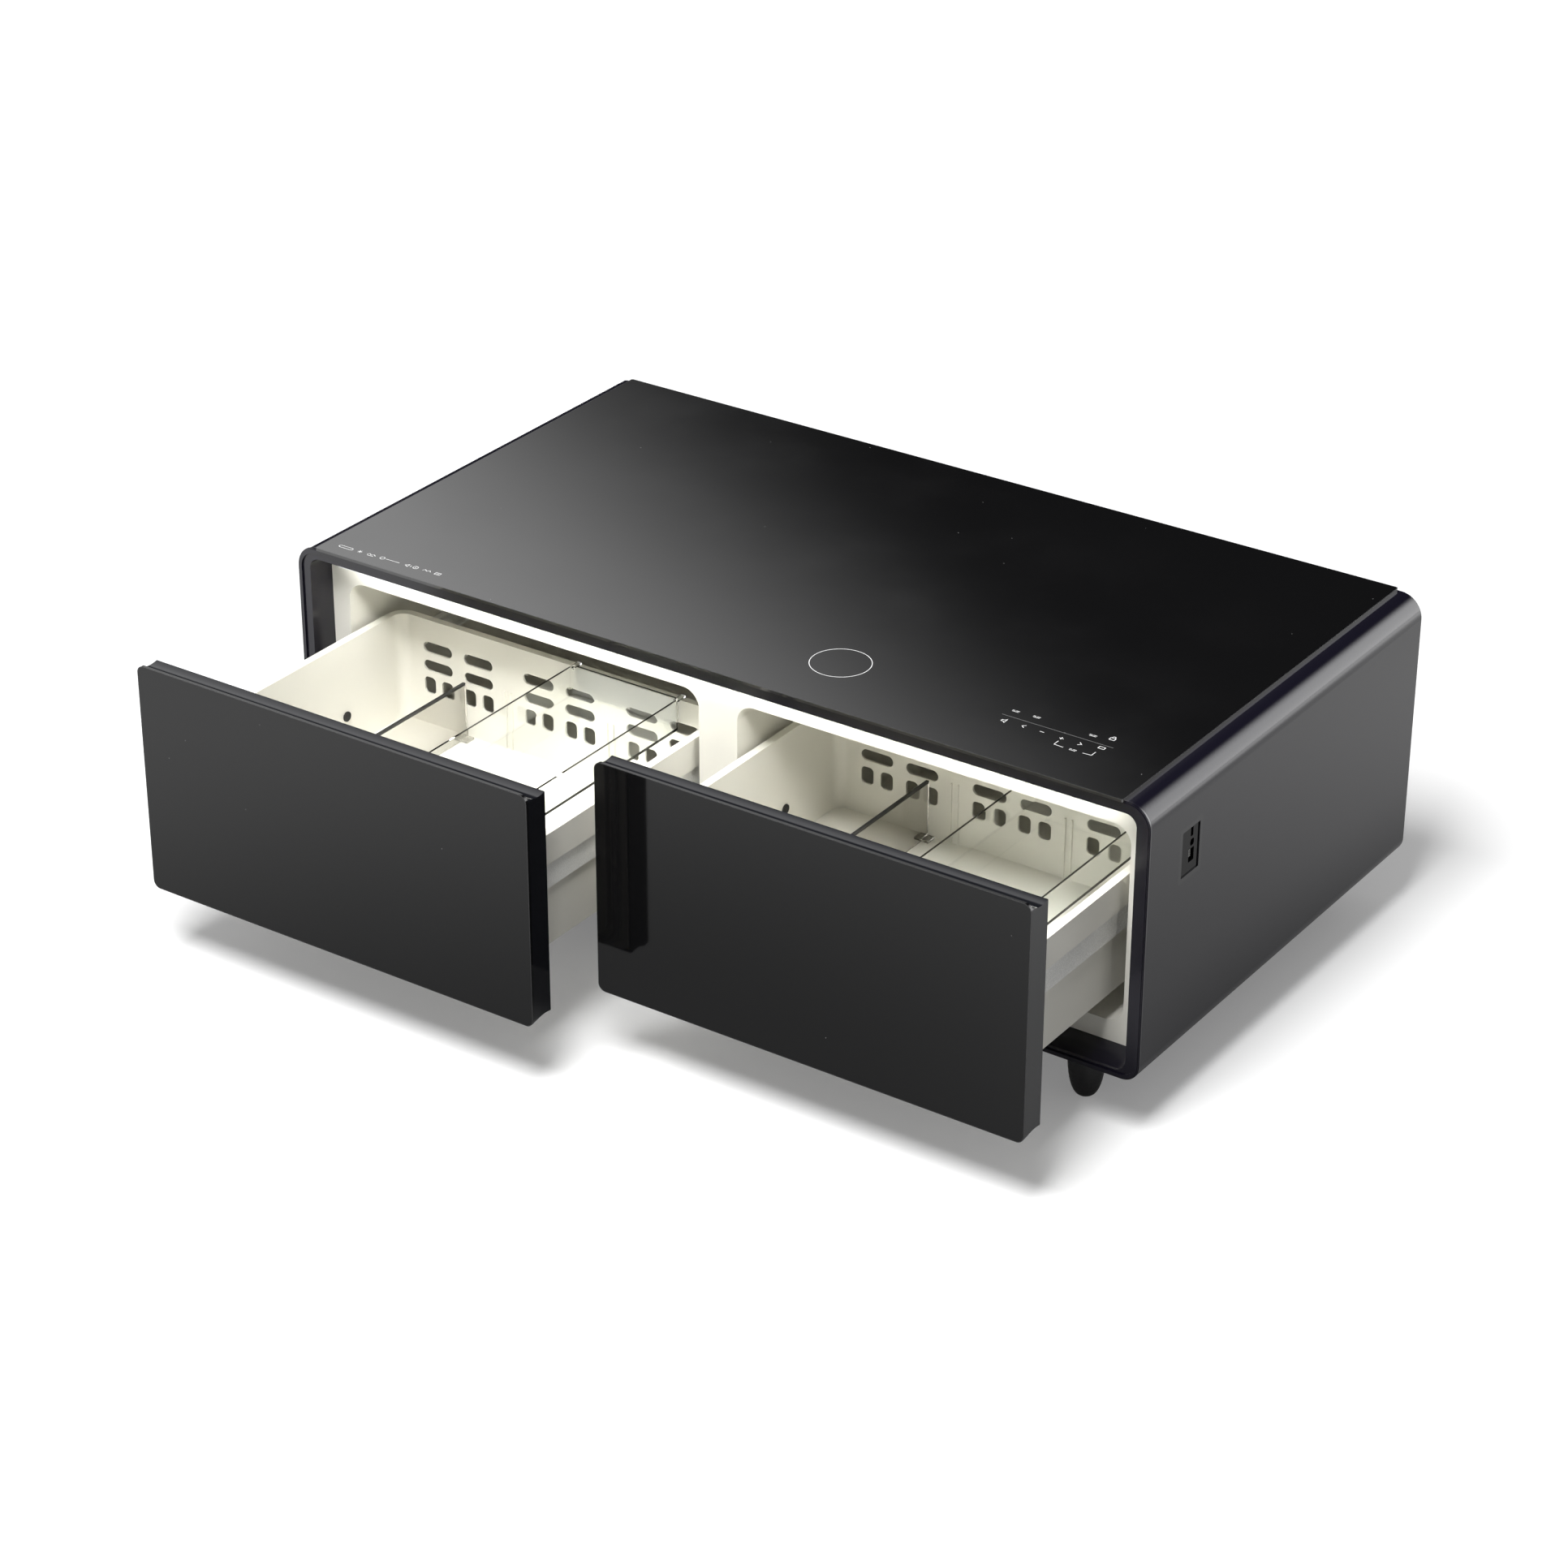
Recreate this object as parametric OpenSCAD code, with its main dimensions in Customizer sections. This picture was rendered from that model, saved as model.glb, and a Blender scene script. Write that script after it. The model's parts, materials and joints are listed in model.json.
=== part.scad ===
// Refrigerator coffee table: a wrapped steel case on bullet feet with a glass
// top, two cooled drawers on roller runners and a compressor bay at the back.
// Lengths are in millimetres. +X is right, +Y is back, +Z is up.

/* [Table] */
// Width over the sides
body_w = 1300; // [1200:10:1420]
// Depth from the bezel to the back
body_d = 700; // [670:10:780]
// Height of the glass over the floor
table_h = 460; // [445:5:520]
// Clearance under the case
leg_h = 77.5; // [60:0.5:90]

/* [Glass top] */
// Thickness of the glass
glass_t = 4; // [3:0.5:6]
// Strip of case left bare at each side
glass_side = 36; // [33:1:60]
// How far the glass stands out in front
glass_over = 4; // [0:0.5:6]
// Corner radius of the glass
glass_r = 3; // [1:0.5:8]

/* [Case] */
// Thickness of the wrapped sheet
sheet = 1.5; // [0.8:0.1:2]
// Radius of the upper edges
case_r_top = 32; // [28:1:36]
// Radius of the lower edges
case_r_low = 24; // [22:1:28]

/* [Bezel] */
// Width of the front bead
bead_w = 8; // [6:0.5:8.5]
// Depth of the front bead
bead_d = 5.2; // [4:0.2:7]
// Bezel width at the sides
lip_side = 19.5; // [16:0.5:20]
// Bezel width along the top
lip_top = 16.5; // [12:0.5:17]
// Bezel width along the bottom
lip_end = 9.5; // [9:0.5:11]
// Depth from the front to the liner face
reveal_d = 45; // [44.8:0.2:50]

/* [Doors] */
// Gap between the two drawer fronts
door_mid = 10.6; // [6:0.2:14]
// Drawer front edge from the case side
door_side = 25.8; // [24:0.2:30]
// Drawer front edge from the case underside
door_low = 24.3; // [22:0.1:28]
// Drawer front edge from the case top
door_high = 32.7; // [28:0.1:36]
// Depth of a drawer front without its seal
door_t = 36.5; // [34:0.5:36.5]
// Corner radius of a drawer front
door_r = 10.5; // [6:0.5:14]
// Depth of the finger cove
cove_in = 9.9; // [7:0.1:11]
// Radius of the finger cove
cove_r = 45; // [36:1:60]
// Part of a bin that stays in when pulled out
stay_in = 80; // [76:1:120]
// Left drawer short of its full travel
left_shy = 8; // [0:1:300]
// Right drawer short of its full travel
right_shy = 128; // [0:1:300]

/* [Cabinet] */
// Case side to compartment
wall_side = 49; // [46:1:60]
// Case underside to compartment
wall_low = 46.5; // [42:0.5:52]
// Case top to compartment
wall_top = 60; // [50:1:62]
// Width between the compartments
wall_mid = 59; // [52:1:70]
// Compartment back to case back
wall_back = 208; // [204:1:216]
// Corner radius of a compartment
comp_r = 25; // [18:1:30]
// Thickness of the white liner
liner_t = 2; // [1.5:0.1:3]

/* [Bins] */
// Bin to compartment at each side
bin_gap = 9; // [8.5:0.5:12]
// Compartment top to bin rim
rim_drop = 71; // [60:1:76]
// Compartment floor to bin underside
bin_lift = 41; // [36:1:46]
// Bin to compartment back, closed
bin_rear = 14; // [13:1:20]
// Wall of a bin
bin_wall = 3; // [2:0.2:3.4]
// Width of the rolled rim
rim_w = 11; // [10.5:0.5:13]
// Height of the rolled rim
rim_h = 42; // [34:1:44]
// Air slot height
slot_h = 16; // [9:0.5:18]
// Gap between the two slots of a pair
slot_gap = 20; // [12:1:30]
// Gap between two pairs of slots
pair_gap = 52; // [40:1:60]
// Last slot to the bin's side
vent_margin = 36.75; // [25:0.25:50]
// Gap between the small windows
win_gap = 11; // [8:0.5:16]

/* [Trays] */
// Width of a clear tray
tray_w = 174; // [140:1:190]
// Depth of a clear tray below the rim
tray_h = 40; // [30:1:42]
// Wall of a clear tray
tray_wall = 3; // [2:0.5:4]
// Left tray from the bin's inner end
left_tray_at = 66; // [20:0.5:160]
// Right tray from the bin's outer end
right_tray_at = 40; // [20:0.5:160]
// Divider height over the bin floor
divider_h = 82; // [60:1:86]
// Thickness of a divider
divider_t = 4; // [3:0.5:6]
// Left divider from the bin middle
left_divider_at = 157; // [90:1:200]
// Right divider from the bin middle
right_divider_at = 124; // [90:1:200]

/* [Feet] */
// Radius of a foot
foot_r = 24; // [18:0.5:26]
// Height of the rounded foot end
dome_h = 56; // [30:1:58]
// Foot centre from the case side
foot_side = 104; // [90:1:130]
// Foot centre from the case front or back
foot_end = 58; // [56:1:70]

/* [Cooling] */
// Radius of the compressor pot
pot_r = 56; // [50:1:58]
// Height of the compressor pot
pot_h = 138; // [120:1:150]
// Radius of the condenser fan
fan_r = 58; // [50:1:62]
// Radius of a cabinet fan
airfan_r = 38; // [32:1:42]

/* [Hidden] */
$fn = 48;

// Common clearances
cut = 1;
seat = 0.3;
run_fit = 0.05;
half = body_w / 2;
z_low = leg_h;
z_top = table_h - glass_t;
inner_low = z_low + sheet;
inner_top = z_top - sheet;

// Bezel and liner face
seam = 0.3;
bead_chamfer = 2.2;
band_back = 2.6;
lip_r = 16;
reveal_r = 18;
reveal_t = 2.2;
reveal_side = 20.5;
reveal_low = 18;
reveal_high = 18;
spigot_l = 16;
spigot_t = 2;
flange_w = 14;
back_t = 2.5;
flange_t = 4;
back_y = body_d - sheet;

// Compartments
comp_x0 = wall_mid / 2;
comp_x1 = half - wall_side;
comp_z0 = z_low + wall_low;
comp_z1 = z_top - wall_top;
comp_y1 = body_d - wall_back;
comp_mid = (comp_x0 + comp_x1) / 2;
comp_midz = (comp_z0 + comp_z1) / 2;

// Niche for the evaporator behind each compartment
niche_d = 34;
niche_h = 150;
niche_max = 400;
niche_w = min(niche_max, comp_x1 - comp_x0 - 2 * niche_d);
cover_t = 2.5;
cover_lap = 12;
foam_back = 34;
foam_y1 = comp_y1 + liner_t + niche_d + foam_back;

// Drawer fronts
door_x0 = door_mid / 2;
door_x1 = half - door_side;
door_z0 = z_low + door_low;
door_z1 = z_top - door_high;
door_glass_t = 4;
cove_y = 24;
frame_wall = 3;
pan_clear = 4.5;
pan_t = 2;
pan_y1 = reveal_d + bead_w / 2 - cut;
seal_w = 11;
seal_y1 = reveal_d - seat;
seal_in = 0.5;

// Bins
bin_x0 = comp_x0 + bin_gap;
bin_x1 = comp_x1 - bin_gap;
bin_mid = (bin_x0 + bin_x1) / 2;
bin_y0 = pan_y1;
bin_y1 = comp_y1 - bin_rear;
rim_z = comp_z1 - rim_drop;
bin_z0 = comp_z0 + bin_lift;
bin_r = 28;
skirt_t = 2.5;
in_x0 = bin_x0 + rim_w;
in_x1 = bin_x1 - rim_w;
in_y0 = bin_y0 + rim_w;
in_y1 = bin_y1 - rim_w;
tub = rim_w - bin_wall;
travel = bin_y1 - bin_y0 - stay_in;
left_out = travel - left_shy;
right_out = travel - right_shy;

// The origin is under the middle of the table as it stands, drawers out
front_y = -max(left_out, right_out, glass_over);
frame_y = -(front_y + body_d) / 2;

// Air slots and guide ribs
row_a = 41;
row_b = 68.5;
row_c = 98.5;
slot_l = (in_x1 - in_x0 - 2 * vent_margin - 2 * pair_gap - 3 * slot_gap) / 6;
slot_off = (slot_l + slot_gap) / 2;
pair_pitch = 2 * slot_l + slot_gap + pair_gap;
win = (slot_l - win_gap) / 2;
win_off = (win + win_gap) / 2;
win_tall = 1.3;
win_h = win_tall * win;
win_r = win / 3;
rib_off = pair_pitch / 2;
rib_gap = 10;
rib_w = 2;
rib_d = 3;
rib_drop = 70;
plug_back = 133;
plug_y = bin_y1 - plug_back;
plug_z = 52;
plug_r = 5;
plug_lip = 2;

// Trays and dividers
hook_l = 10;
tray_r = 8;
div_clear = rib_d + cut;
div_foot_w = 24;
div_foot_l = 16;
div_foot_t = 3;

// Roller runners
rail_t = 1.5;
rail_drop = rim_h + seat;
rail_h = 35.7;
rail_out = 4;
rail_back = 8;
chan_gap = 0.8;
chan_h = 27.6;
chan_drop = 49.2;
chan_end = 12;
roller_r = 11;
front_roller_w = 3.8;
front_roller_y = 92;
tab_l = 22;
chan_y0 = front_roller_y - tab_l / 2 - rail_t;
tab_over = 6;
rear_roller_w = 7.5;
rear_roller_in = 18;
axle_r = 2.5;
rail_face = tub - rail_out;
rear_roller_r = chan_h / 2 - rail_t - seat;

// Lights and electronics
led_y = 14;
led_w = 14;
led_h = 7;
led_in = 60;
led_lens = 3;
led_wall = 1.5;
touch_in = 190;
touch_x = half - touch_in;
touch_y = 97;
touch_w = 176;
touch_l = 70;
touch_deep = 12;
touch_t = 1.5;
board_t = 1.6;
coil_x = 143.6;
coil_y = 107;
coil_r = 36;
coil_in = 13;
coil_t = 5;
port_y = 103;
port_drop = 100;
port_z = z_top - port_drop;
port_l = 56;
port_h = 76;
port_band = 7;
port_deep = 24;
port_lap = 3;
port_wall = 1.4;

// Machine bay
bay_y0 = foam_y1;
bay_y1 = back_y - back_t - flange_t;
bay_mid = (bay_y0 + bay_y1) / 2;
pot_x = -half * 0.62;
base_t = 2;
grommet_r = 9;
grommet_h = 10;
mount_leg = 46;
cond_w = 216;
cond_h = 190;
cond_d = 36;
cond_lift = 24;
cond_z = inner_low + cond_lift;
fin_t = 0.6;
fin_in = 2;
end_plate = 1.2;
fin_count = 22;
tube_r = 3.2;
tube_rows = 4;
pipe_bend = 10;
fan_frame_t = 26;
fan_hub_r = 19;
fan_rim = 4;
fan_tip = 2;
spider_in = 1;
blade_t = 2;
blade_pitch = 38;
box_x = half * 0.44;
box_w = 170;
box_h = 110;
box_d = 60;
inlet_w = 50;
inlet_h = 30;
inlet_d = 24;
inlet_x = box_x;
inlet_up = 50;
inlet_z = inner_low + inlet_up;
speaker_r = 38;
speaker_d = 40;
speaker_x = half * 0.85;
speaker_drop = 110;
speaker_z = z_top - speaker_drop;

// The children in the stated frame
module place() translate([0, frame_y, 0]) children();

// A drawer's piece: drawn closed and on the right, then mirrored and pulled out
module drawer(side) translate([0, side < 0 ? -left_out : -right_out, 0])
    on_side(side) children();

module on_side(side) {
    if (side < 0) mirror([1, 0, 0]) children();
    else children();
}

// A front view outline given depth, from y0 towards the back
module deep(y0, len) translate([0, y0 + len, 0]) rotate([90, 0, 0])
    linear_extrude(height = len) children();

// A plan outline given height
module tall(z0, h) translate([0, 0, z0]) linear_extrude(height = h) children();

// A side view outline (y, z) given width
module wide(x0, w) translate([x0, 0, 0]) rotate([90, 0, 90])
    linear_extrude(height = w) children();

module rod(r, len) rotate([0, 90, 0]) cylinder(r = r, h = len);

// Rounded rectangle with its own lower and upper radius
module rr2(x0, x1, y0, y1, rl, ru) {
    polygon([[x0 + rl, y0], [x1 - rl, y0], [x1, y0 + rl], [x1, y1 - ru],
        [x1 - ru, y1], [x0 + ru, y1], [x0, y1 - ru], [x0, y0 + rl]]);
    for (x = [x0 + rl, x1 - rl]) translate([x, y0 + rl]) circle(r = rl);
    for (x = [x0 + ru, x1 - ru]) translate([x, y1 - ru]) circle(r = ru);
}

module rr(x0, x1, y0, y1, r) rr2(x0, x1, y0, y1, r, r);

// Outlines that several pieces share
module case_outline(inset) rr2(-half + inset, half - inset, z_low + inset, z_top - inset,
    case_r_low - inset, case_r_top - inset);

module lip_outline(grow) rr(-half + lip_side - grow, half - lip_side + grow,
    z_low + lip_end - grow, z_top - lip_top + grow, lip_r + grow);

module reveal_outline(grow) rr(-half + reveal_side - grow, half - reveal_side + grow,
    z_low + reveal_low - grow, z_top - reveal_high + grow, reveal_r + grow);

module comp_outline(grow) rr(comp_x0 - grow, comp_x1 + grow, comp_z0 - grow, comp_z1 + grow,
    comp_r + grow);

module door_outline(inset) rr(door_x0 + inset, door_x1 - inset, door_z0 + inset,
    door_z1 - inset, door_r);

module pan_outline(inset) rr(comp_x0 + pan_clear + inset, comp_x1 - pan_clear - inset,
    comp_z0 + pan_clear + inset, comp_z1 - pan_clear - inset, comp_r - inset);

module niche_outline(grow) translate([comp_mid, comp_midz])
    square([niche_w + 2 * grow, niche_h + 2 * grow], center = true);

// Drafted tunnel from the bezel's lip back to the liner face
module tunnel(grow) hull() {
    deep(bead_d, sheet) lip_outline(grow);
    deep(reveal_d - sheet, sheet) reveal_outline(grow);
}

// Case
module shell() color("dimgray") place() {
    difference() {
        deep(bead_d + seam, body_d - bead_d - seam) case_outline(0);
        deep(0, body_d + cut) case_outline(sheet);
        port_block(half - sheet - cut, sheet + 2 * cut, -run_fit);
        tall(inner_top - cut, sheet + 2 * cut) translate([touch_x, touch_y])
            square([touch_w, touch_l], center = true);
        tall(inner_top - cut, sheet + 2 * cut) translate([coil_x, coil_y])
            circle(r = coil_r + seat);
        at_feet() translate([0, 0, z_low - cut]) cylinder(r = axle_r + axle_r, h = sheet + 2 * cut);
        for (i = [-4 : 4]) translate([i * grommet_r * 2, bay_mid, z_low - cut])
            tall(0, sheet + 2 * cut) rr(-grommet_r / 2, grommet_r / 2, -pot_r / 2, pot_r / 2,
                grommet_r / 2);
    }
    deep(bay_y1, flange_t) difference() {
        case_outline(sheet);
        case_outline(sheet + flange_w);
    }
}

module glass_top() color("black") place() tall(z_top, glass_t)
    rr(-half + glass_side, half - glass_side, -glass_over, body_d, glass_r);

module front_bezel() color("darkslategray") place() {
    // rounded bead round the front edge
    deep(0, bead_chamfer) difference() {
        case_outline(bead_chamfer);
        case_outline(bead_w - bead_chamfer / 2);
    }
    deep(bead_chamfer / 2, bead_chamfer) difference() {
        case_outline(bead_chamfer / 3);
        case_outline(bead_w - bead_chamfer / 4);
    }
    deep(bead_chamfer, bead_d - bead_chamfer) difference() {
        case_outline(0);
        case_outline(bead_w);
    }
    // inner band
    deep(bead_d - band_back, band_back) difference() {
        case_outline(bead_w - sheet);
        lip_outline(0);
    }
    // drafted reveal back to the liner
    difference() {
        tunnel(reveal_t);
        tunnel(0);
        deep(bead_d - cut, cut) lip_outline(reveal_t);
        deep(reveal_d - cut, 2 * cut) reveal_outline(0);
    }
    // spigot that seats in the case
    deep(bead_d, spigot_l) difference() {
        case_outline(sheet + seat);
        case_outline(sheet + seat + spigot_t);
    }
}

module cabinet_liner() color("ivory") place() difference() {
    union() {
        deep(reveal_d, liner_t) case_outline(sheet + seat);
        for (s = [-1, 1]) on_side(s) {
            deep(reveal_d, comp_y1 - reveal_d + liner_t) comp_outline(liner_t);
            deep(comp_y1, niche_d + liner_t) niche_outline(liner_t);
        }
    }
    for (s = [-1, 1]) on_side(s) {
        deep(reveal_d - cut, comp_y1 - reveal_d + cut) comp_outline(0);
        deep(comp_y1 - cut, niche_d + cut) niche_outline(0);
    }
    pipe_ways();
}

module insulation() color("khaki") place() difference() {
    deep(reveal_d + liner_t, foam_y1 - reveal_d - liner_t) case_outline(sheet + seat);
    for (s = [-1, 1]) on_side(s) {
        deep(reveal_d, comp_y1 - reveal_d + liner_t) comp_outline(liner_t);
        deep(comp_y1, niche_d + liner_t) niche_outline(liner_t);
    }
    port_block(half - port_deep - seat, port_deep + cut, -port_lap - seat);
    tall(z_top - touch_deep - 2 * sheet, touch_deep + 2 * sheet) translate([touch_x, touch_y])
        square([touch_w + 4 * touch_deep, touch_l + 2 * touch_deep], center = true);
    tall(z_top - 2 * coil_t, 2 * coil_t) translate([coil_x, coil_y]) circle(r = coil_r + seat);
    at_feet() tall(z_low, plate_h + seat) square([plate_w + 2 * seat, plate_d + 2 * seat],
        center = true);
    pipe_ways();
}

// Feet
plate_w = 60;
plate_d = 2 * (foot_end - reveal_d - liner_t - cut);
plate_t = 4;
stud_up = 12;
plate_h = plate_t + sheet + stud_up;
pad_r = 8;
pad_t = 2;
stud_r = 4;

module at_feet() for (s = [-1, 1], y = [foot_end, body_d - foot_end])
    translate([s * (half - foot_side), y, 0]) children();

foot_steps = 10;

function dome(i) = [pad_r + seat + (foot_r - pad_r - seat) * sin(90 * i / foot_steps),
    dome_h * (1 - cos(90 * i / foot_steps))];

module feet() color("black") place() at_feet() difference() {
    rotate_extrude() polygon(concat([[0, 0]], [for (i = [0 : foot_steps]) dome(i)],
        [[foot_r + pad_t / 2, z_low], [0, z_low]]));
    translate([0, 0, -cut]) cylinder(r = pad_r, h = pad_t / 2 + cut);
    translate([0, 0, dome_h / 2]) cylinder(r = stud_r, h = z_low);
}

module foot_pads() color("gray") place() at_feet() tall(0, pad_t / 2) circle(r = pad_r - seat / 3);

// Nut plates with the studs that hold the feet
module foot_plates() color("silver") place() at_feet() {
    tall(inner_low, plate_t) square([plate_w, plate_d], center = true);
    tall(dome_h / 2, inner_low - dome_h / 2 + plate_h - sheet) circle(r = stud_r - run_fit);
}

// Lights over the doors
function tunnel_top(y) = z_top - lip_top - (y - bead_d - sheet) * (reveal_high - lip_top)
    / (reveal_d - bead_d - sheet);

led_z = tunnel_top(led_y + led_w) - led_h;

module led_channel() color("silver") place() difference() {
    wide(-half + led_in, body_w - 2 * led_in) polygon([[led_y, led_z], [led_y + led_w, led_z],
        [led_y + led_w, tunnel_top(led_y + led_w)], [led_y, tunnel_top(led_y)]]);
    translate([-half + led_in - cut, led_y + led_wall, led_z - cut])
        cube([body_w - 2 * led_in + 2 * cut, led_w - 2 * led_wall, led_h - led_wall + cut]);
}

module led_diffuser() color("white") place() translate([-half + led_in, led_y + led_wall, led_z])
    cube([body_w - 2 * led_in, led_w - 2 * led_wall, led_lens]);

// Electronics under the glass
module touch_tray() color("dimgray") place() translate([touch_x, touch_y, 0]) difference() {
    union() {
        tall(inner_top - touch_deep, touch_deep)
            square([touch_w + 2 * touch_t, touch_l + 2 * touch_t], center = true);
        tall(inner_top - touch_t, touch_t)
            square([touch_w + 3 * touch_deep, touch_l + touch_deep], center = true);
    }
    tall(inner_top - touch_deep + touch_t, touch_deep) square([touch_w, touch_l], center = true);
}

module touch_board() color("green") place() translate([touch_x, touch_y, 0]) {
    tall(z_top - board_t, board_t) square([touch_w - 2 * seat, touch_l - 2 * seat], center = true);
    for (sx = [-1, 1], sy = [-1, 1])
        translate([sx * (touch_w / 2 - 2 * axle_r), sy * (touch_l / 2 - 2 * axle_r),
            inner_top - touch_deep + touch_t])
            cylinder(r = axle_r, h = touch_deep + sheet - touch_t - board_t);
}

module charge_coil() color("peru") place() translate([coil_x, coil_y, 0]) {
    tall(z_top - coil_t, coil_t) difference() {
        circle(r = coil_r);
        circle(r = coil_in);
    }
    tall(z_top - 2 * coil_t, coil_t) circle(r = coil_r);
}

// Side port panel
module port_block(x0, w, inset) translate([x0, port_y - port_l / 2 + inset,
    port_z - port_h / 2 + inset]) cube([w, port_l - 2 * inset, port_h - 2 * inset]);

module port_frame() color("gray") place() difference() {
    port_block(half - sheet, sheet, 0);
    port_block(half - sheet - cut, sheet + 2 * cut, port_band);
}

// Three sockets, as shares of the panel: across, up, width, height, corner
socket_shares = [[0.07, 0.309, 0.107, 0.171, 0.02], [0.09, 0.11, 0.16, 0.118, 0.05],
    [0.07, -0.11, 0.232, 0.237, 0.02]];

module sockets(x0, w) wide(x0, w) for (k = socket_shares)
    translate([port_y + k[0] * port_l, port_z + k[1] * port_h])
        rr(-k[2] * port_l / 2, k[2] * port_l / 2, -k[3] * port_h / 2, k[3] * port_h / 2,
            k[4] * port_l);

module port_plate() color("black") place() difference() {
    port_block(half - sheet - port_wall, port_wall, -port_lap);
    sockets(half - sheet - 2 * port_wall, 3 * port_wall);
}

module port_sockets() color("black") place() difference() {
    translate([half - port_deep, port_y - port_l / 4, port_z - port_h / 4 - port_wall])
        cube([port_deep - sheet - port_wall, port_l / 2 + port_band, port_h * 0.75 - port_band / 2]);
    sockets(half - port_deep + 2 * port_wall, port_deep);
}

// Back
module back_panel() color("dimgray") place() difference() {
    deep(back_y - back_t, back_t) case_outline(sheet + seat);
    louvres(0, cond_z + cond_h / 2, cond_w, cond_h);
    louvres(pot_x, inner_low + pot_h / 2 + grommet_h, 2 * pot_r, pot_h);
    for (s = [-1, 1], r = [1 : 4], i = [0 : 6 * r - 1]) deep(back_y - back_t - cut, back_t + 2 * cut)
        translate([s * speaker_x + r * speaker_r / 4.6 * cos(60 * i / r),
            speaker_z + r * speaker_r / 4.6 * sin(60 * i / r)]) circle(r = axle_r, $fn = 16);
    deep(back_y - back_t - cut, back_t + 2 * cut) translate([inlet_x, inlet_z])
        square([inlet_w + 2 * seat, inlet_h + 2 * seat], center = true);
    at_screws() rotate([90, 0, 0]) cylinder(r = screw_r + seat, h = 3 * back_t, center = true);
}

louvre_h = 4;
louvre_gap = 9;

module louvres(x, z, w, h) for (k = [0 : floor(h / (louvre_h + louvre_gap)) - 1], s = [-1, 1])
    deep(back_y - back_t - cut, back_t + 2 * cut)
        translate([x + s * w / 4, z - h / 2 + (k + 0.5) * (louvre_h + louvre_gap)])
            square([w / 2 - louvre_gap, louvre_h], center = true);

screw_r = 2;
screw_in = sheet + flange_w / 2;

module at_screws() for (s = [-1, 1]) {
    for (x = [half - 2 * case_r_top, half / 3], z = [z_low + screw_in, z_top - screw_in])
        translate([s * x, back_y, z]) children();
    translate([s * (half - screw_in), back_y, (z_low + z_top) / 2]) children();
}

module back_screws() color("silver") place() at_screws() rotate([90, 0, 0]) {
    translate([0, 0, -sheet]) cylinder(r = 2 * screw_r, h = sheet);
    cylinder(r = screw_r, h = back_t);
}

module power_inlet() color("black") place() {
    difference() {
        deep(back_y - inlet_d, inlet_d + sheet) translate([inlet_x, inlet_z])
            square([inlet_w, inlet_h], center = true);
        deep(back_y - inlet_d + sheet, inlet_d) translate([inlet_x, inlet_z])
            rr(-inlet_w / 4, inlet_w / 4, -inlet_h / 3, inlet_h / 3, axle_r);
    }
    for (i = [-1 : 1]) deep(back_y - inlet_d, inlet_d * 2 / 3)
        translate([inlet_x + i * inlet_w / 7, inlet_z + (i == 0 ? axle_r : -axle_r)])
            square([sheet, 2 * sheet], center = true);
}

module speakers() color("gray") place() for (s = [-1, 1])
    translate([s * speaker_x, back_y - back_t, speaker_z]) rotate([90, 0, 0]) {
        difference() {
            cylinder(r = speaker_r, h = speaker_d / 3);
            translate([0, 0, -cut]) cylinder(r1 = speaker_r - 2 * sheet, r2 = speaker_r / 4,
                h = speaker_d / 4 + cut);
        }
        cylinder(r = speaker_r / 5, h = speaker_d / 4);
        translate([0, 0, speaker_d / 3]) cylinder(r = speaker_r * 0.6, h = speaker_d / 3);
    }

// Compressor
pot_z = inner_low + base_t + grommet_h;
pot_dome = 34;

module compressor() color("black") place() translate([pot_x, bay_mid, pot_z]) {
    rotate_extrude() polygon(concat([[0, 0]],
        [for (i = [0 : 6]) [pot_r - pot_dome / 2 * (1 - sin(15 * i)), pot_dome / 2 * (1 - cos(15 * i))]],
        [for (i = [0 : 6]) [pot_r * cos(15 * i), pot_h - pot_dome + pot_dome * sin(15 * i)]]));
    translate([0, 0, pot_h * 0.56]) cylinder(r = pot_r + base_t, h = 2 * base_t);
    difference() {
        tall(0, base_t) square([4 * mount_leg - 4 * grommet_r, 2 * mount_leg], center = true);
        at_grommets() translate([0, 0, -cut]) cylinder(r = grommet_r / 2 + seat, h = base_t + 2 * cut);
    }
    translate([-pot_r - mount_leg / 2 + 3 * base_t, -mount_leg / 2, pot_h / 4])
        cube([mount_leg / 2, mount_leg, mount_leg]);
    for (z = [stub_cold_z, stub_hot_z]) translate([0, 0, z - pot_z]) rod(tube_r + sheet, pot_r + stub_l);
}

module at_grommets() for (sx = [-1, 1], sy = [-1, 1])
    translate([sx * (2 * mount_leg - 3.4 * grommet_r), sy * (mount_leg - grommet_r), 0]) children();

module compressor_mounts() color("dimgray") place() translate([pot_x, bay_mid, inner_low]) {
    tall(0, base_t) square([4 * mount_leg, 2 * mount_leg + 2 * grommet_r], center = true);
    at_grommets() {
        translate([0, 0, base_t]) cylinder(r = grommet_r, h = grommet_h);
        cylinder(r = grommet_r / 2, h = base_t + grommet_h + 3 * base_t);
    }
}

// Finned coil between two end plates, w along X, d along Y, h along Z
function coil_end(w, h, rows) = w / 2 - h / rows / 2 - tube_r;

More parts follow.
